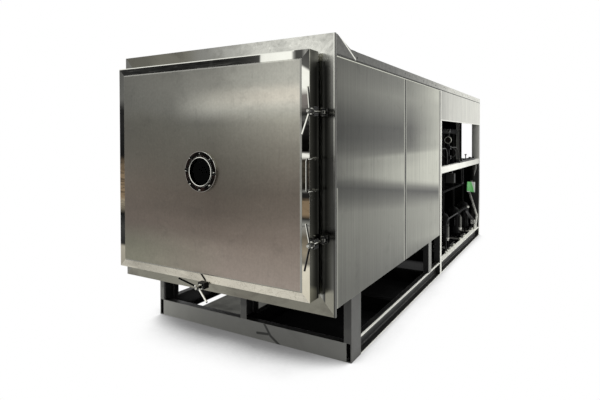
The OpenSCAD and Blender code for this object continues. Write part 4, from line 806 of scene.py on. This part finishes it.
# --------------------------------------------------------------------- materials
MATS = {
    "base": painted("base_paint", base_tone, 0.55, 0.2, 0.35),
    "post": painted("post_paint", post_tone, 0.55, 0.2, 0.35),
    # near black: painted shade under the chamber
    "under": painted("under_shade_paint", grey(5), 0.85, 0.03, 0.3, spec=0.04, chip=24),
    "frame": painted("frame_paint", frame_tone, 0.5, 0.15, 0.2),
    # near black: painted shade inside the cabinet
    "inner": painted("inner_shade_steel", grey(9), 0.7, 0.05, 0.3, spec=0.05, chip=36),
    "chamber": dull_steel("chamber_steel", 176, 0.4),
    "pipe": dull_steel("pipe_steel", 26, 0.5),
    "collar": polished("collar_steel", collar_tone, 0.16),
    "door": brushed("door_panel_steel", door_tone, (900, 900, 4), 0.36, 0.28),
    "side": brushed("side_sheet", side_tone, (700, 700, 4), 0.36, 0.22),
    "rear": brushed("rear_sheet", rear_tone, (700, 700, 5), 0.38, 0.15),
    "fascia": brushed("fascia_sheet", fascia_tone, (240, 240, 240), 0.2, 0.45, 0.05, 0.12),
    "casing": polished("door_casing_steel", casing_tone, 0.08),
    "bright": polished("bright_steel", chrome_tone, 0.12),
    "sight": polished("sight_steel", sight_tone, 0.12),
    "sbolt": polished("sight_bolt_steel", sight_bolt_tone, 0.3, edge_highlight=0.1),
    "nut_upper": polished("nut_upper_steel", nut_tone("upper"), 0.16),
    "nut_lower": polished("nut_lower_steel", nut_tone("lower"), 0.16),
    "nut_bottom": polished("nut_bottom_steel", nut_tone("bottom"), 0.16),
    "rod": polished("swing_bolt_steel", rod_tone, 0.16),
    "handle": polished("handle_steel", handle_tone, 0.14),
    "fast": polished("fastener_steel", fastener_tone, 0.16),
    "screw": dull_steel("screw_steel", 58, 0.38),
    "lug": painted("blackened_steel", lug_tone, 0.35, 0.5, 0.2, spec=0.12, chip=140),
    "gauge": painted("gauge_black", gauge_tone, 0.42, 0.1, 0.2, spec=0.15, chip=80),
    "blackp": painted("black_paint", compressor_tone, 0.45, 0.1, 0.2, spec=0.05, chip=50),
    "vessel": painted("vessel_paint", grey(6), 0.5, 0.1, 0.3, spec=0.08, chip=44),
    "pump": painted("pump_paint", grey(60, (0.92, 1.0, 1.06)), 0.45, 0.2, 0.5),
    "lag": painted("pipe_lagging", lag_tone, 0.7, 0.0, 0.2, spec=0.05, chip=16),
    "rubber": rubber("seal_rubber", 14, 0.6),
    "hose": braid("hose_jacket", hose_tone),
    "braid": braid("hose_braid", grey(130), 1400.0, 0.8),
    "box": painted("box_paint", grey(40), 0.5, 0.1, 0.2, spec=0.15, chip=70),
    # near black: painted shade at the back of the bay
    "dark_sheet": painted("dark_sheet", grey(2), 0.8, 0.0, 0.2, spec=0.02, chip=10),
    "shelf": dull_steel("shelf_plate", 178, 0.36),
    "red": painted("pointer_paint", lin(64, 30, 26), 0.5, 0.0, 0.1, spec=0.1, chip=40),
    "glass": glass("sight_glass"),
}

# which CAD nodes wear which material
USE = {
    "base": ["base_beams"],
    "post": ["front_posts", "middle_posts"],
    "under": ["cross_beams", "chamber_cradle"],
    "frame": ["bay_frame"],
    "inner": ["panel_frame", "chamber_ribs"],
    "chamber": ["chamber_shell", "shelf_rack", "shelf_manifolds", "trap_baffle",
                "cold_trap_coils", "coil_supports", "door_plate", "door_ribs"],
    "collar": ["chamber_collar"],
    "rubber": ["door_gasket", "sight_gaskets"],
    "shelf": ["heating_shelves"],
    "braid": ["shelf_hoses"],
    "fascia": ["fascia_frame"],
    "side": ["side_panels_front", "side_panels_middle"],
    "rear": ["bay_headers", "trim_strips", "roof_panels"],
    "dark_sheet": ["rear_panels"],
    "screw": ["panel_screws"],
    "casing": ["door_casing"],
    "door": ["door_panel"],
    "bright": ["sight_flange"],
    "glass": ["sight_glass"],
    "sight": ["sight_cover"],
    "sbolt": ["sight_bolts"],
    "handle": ["door_handle"],
    "lug": ["clamp_lugs", "clamp_brackets"],
    "fast": ["hinge_leaves", "hinge_brackets", "pivot_pins",
             "washer_upper", "washer_lower", "washer_bottom"],
    "rod": ["swing_bolt_upper", "swing_bolt_lower", "swing_bolt_bottom"],
    "nut_upper": ["hand_nut_upper"],
    "nut_lower": ["hand_nut_lower"],
    "nut_bottom": ["hand_nut_bottom"],
    "blackp": ["compressors"],
    "vessel": ["condenser", "oil_separators"],
    "pump": ["vacuum_pump"],
    "pipe": ["vacuum_pipe"],
    "lag": ["refrigerant_pipes"],
    "hose": ["bay_hoses"],
    "box": ["electric_box"],
    "gauge": ["gauge_set"],
    "red": ["gauge_pointer"],
}
WEARS = {node: MATS[key] for key, nodes in USE.items() for node in nodes}
for name, o in NODES.items():
    o.data.materials.clear()
    o.data.materials.append(WEARS[name])


# ---------------------------------------------------------------- the added card
def mesh_object(name, verts, faces, mat, smooth=False):
    me = bpy.data.meshes.new(name)
    me.from_pydata(verts, [], faces)
    me.update()
    me.materials.append(mat)
    if smooth:
        me.polygons.foreach_set("use_smooth", [True] * len(me.polygons))
    o = bpy.data.objects.new(name, me)
    bpy.context.scene.collection.objects.link(o)
    return o


def card_plastic():
    """Green with a pale right edge, cut aslant, and a pale lower left corner."""
    t = Tree("card_plastic")
    n = t.noise(9.0, 2.0)
    lean = t.mul(t.sub(t.z, 0.713), 0.3)
    slant = t.add(t.add(t.x, lean), t.mul(n, 0.05))
    pale = t.span(slant, 0.868, 0.878, smooth=True)
    pale = t.math("MAXIMUM", pale, t.both(t.under(t.z, 0.656), t.under(t.x, 0.806)))
    base = t.mix(pale, lin(128, 236, 132), lin(252, 254, 250))
    return t.done(t.mix(t.span(n, 0.4, 0.7, 0.0, 0.3), base, lin(205, 252, 205)), 0.45)


def card():
    """Blank plastic card hung in the bay, slightly curled."""
    nx, nz = 10, 12
    x0, y0, z0, width, height = 0.770, 2.213, 0.642, 0.108, 0.142
    verts, faces = [], []
    for j in range(nz + 1):
        for i in range(nx + 1):
            u, w = i / nx, j / nz
            curl = y0 + 0.010 * math.sin(u * 2.6) + 0.006 * w * w
            verts.append((x0 + width * u, curl, z0 + height * w))
    for j in range(nz):
        for i in range(nx):
            a = j * (nx + 1) + i
            faces.append((a, a + 1, a + nx + 2, a + nx + 1))
    o = mesh_object("blank_card", verts, faces, card_plastic(), True)
    s = o.modifiers.new("thick", "SOLIDIFY")
    s.thickness = 0.0008
    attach(o, "cabinet")


card()


# ------------------------------------------------------------------------ studio
def seen_apart(nt, out, lit, seen):
    """One shader lights the scene, the other shows to camera, mirrors and glass."""
    path = nt.nodes.new("ShaderNodeLightPath").outputs
    rays = path["Is Camera Ray"]
    for kind in ("Is Glossy Ray", "Is Transmission Ray"):
        n = nt.nodes.new("ShaderNodeMath")
        n.operation = "MAXIMUM"
        nt.links.new(rays, n.inputs[0])
        nt.links.new(path[kind], n.inputs[1])
        rays = n.outputs[0]
    mix = nt.nodes.new("ShaderNodeMixShader")
    for i, socket in enumerate((rays, lit, seen)):
        nt.links.new(socket, mix.inputs[i])
    nt.links.new(mix.outputs[0], out.inputs["Surface"])


def floor():
    """White floor whose shade under the dryer is set."""
    t = Tree("floor_pale")
    t.done((0.9, 0.9, 0.9), 0.8)
    t.bsdf.inputs["Specular IOR Level"].default_value = 0.0
    ao = t.nt.nodes.new("ShaderNodeAmbientOcclusion")
    ao.samples = 32
    ao.inputs["Distance"].default_value = 0.8
    open_sky = ao.outputs["AO"]
    soft = t.ramp(open_sky, shades((0.0, .05), (0.3, .2), (0.5, .6), (0.62, .93), (0.7, 1)))
    deep = t.ramp(open_sky, shades((0.0, 0), (0.5, .002), (0.75, .04)))
    across = t.under(t.off(t.x, BASE_MID), BASE_RIGHT - BASE_MID - 0.0025)
    inside = t.both(across, t.over(t.y, BASE_FRONT + 0.002), t.under(t.y, BAY_BACK - 0.01))
    # light reaching the floor under the base at the front left
    row = t.mul(t.span(t.y, -1.745, -1.725), t.span(t.y, -1.35, -1.37))
    gap = t.mul(t.span(t.x, -0.672, -0.664), t.span(t.x, -0.602, -0.61))
    slant = t.add(t.x, t.mul(t.y, -0.66))
    dim = t.mul(t.span(t.x, -0.612, -0.604), t.span(slant, 0.93, 0.9))
    dim = t.mul(dim, t.span(t.noise(7.0, 3.0), 0.3, 0.7, 0.6, 1.2))
    deep = t.mix(t.mul(row, dim, clamp=True), deep, grey(84))
    deep = t.mix(t.mul(row, gap, clamp=True), deep, WHITE)
    em = t.nt.nodes.new("ShaderNodeEmission")
    t.link(t.mix(inside, soft, deep), em.inputs["Color"])
    seen_apart(t.nt, t.out, t.bsdf.outputs[0], em.outputs[0])
    s = 60.0
    corners = [(-s, -s, 0), (s, -s, 0), (s, s, 0), (-s, s, 0)]
    o = mesh_object("floor", corners, [(0, 1, 2, 3)], t.mat)


def studio():
    """White surroundings that light more gently than they look."""
    world = bpy.data.worlds.new("studio")
    bpy.context.scene.world = world
    world.use_nodes = True
    nt = world.node_tree
    nt.nodes.clear()
    glow = []
    for strength in (0.6, 1.0):
        bg = nt.nodes.new("ShaderNodeBackground")
        bg.inputs["Color"].default_value = (1, 1, 1, 1)
        bg.inputs["Strength"].default_value = strength
        glow.append(bg.outputs[0])
    seen_apart(nt, nt.nodes.new("ShaderNodeOutputWorld"), *glow)


def area(name, loc, target, size, power):
    """Rectangular light that mirrors do not show."""
    d = bpy.data.lights.new(name, "AREA")
    d.shape = "RECTANGLE"
    d.size, d.size_y = size
    d.energy = power
    o = bpy.data.objects.new(name, d)
    bpy.context.scene.collection.objects.link(o)
    o.location = loc
    o.rotation_mode = "QUATERNION"
    o.rotation_quaternion = (Vector(target) - Vector(loc)).to_track_quat("-Z", "Y")
    o.visible_glossy = False


def camera(place, yaw, pitch, roll, lens, shift_y):
    """The photograph's camera; yaw turns from +Y towards -X, pitch looks down."""
    data = bpy.data.cameras.new("camera")
    data.sensor_width = 36.0
    data.lens = lens
    data.shift_y = shift_y
    data.clip_start = 0.05
    data.clip_end = 200.0
    o = bpy.data.objects.new("camera", data)
    bpy.context.scene.collection.objects.link(o)
    level = math.cos(pitch)
    ahead = Vector((-math.sin(yaw) * level, math.cos(yaw) * level, -math.sin(pitch)))
    turn = ahead.to_track_quat("-Z", "Y").to_matrix().to_4x4() @ Matrix.Rotation(roll, 4, "Z")
    o.matrix_world = Matrix.Translation(place) @ turn
    bpy.context.scene.camera = o


floor()
studio()
area("key", (-3.2, -6.2, 3.0), (0.3, -2.0, 0.3), (0.35, 0.35), 150)
area("side", (6.5, 1.5, 5.5), (0, 0, 1), (4, 4), 260)
area("rear", (5.5, 6.5, 5.0), (0, 1, 1), (4, 4), 120)
camera((2.103, -4.717, 1.421), 0.530, 0.015, -0.002, lens=28.32, shift_y=-0.0933)
bpy.context.scene.view_settings.view_transform = "Standard"
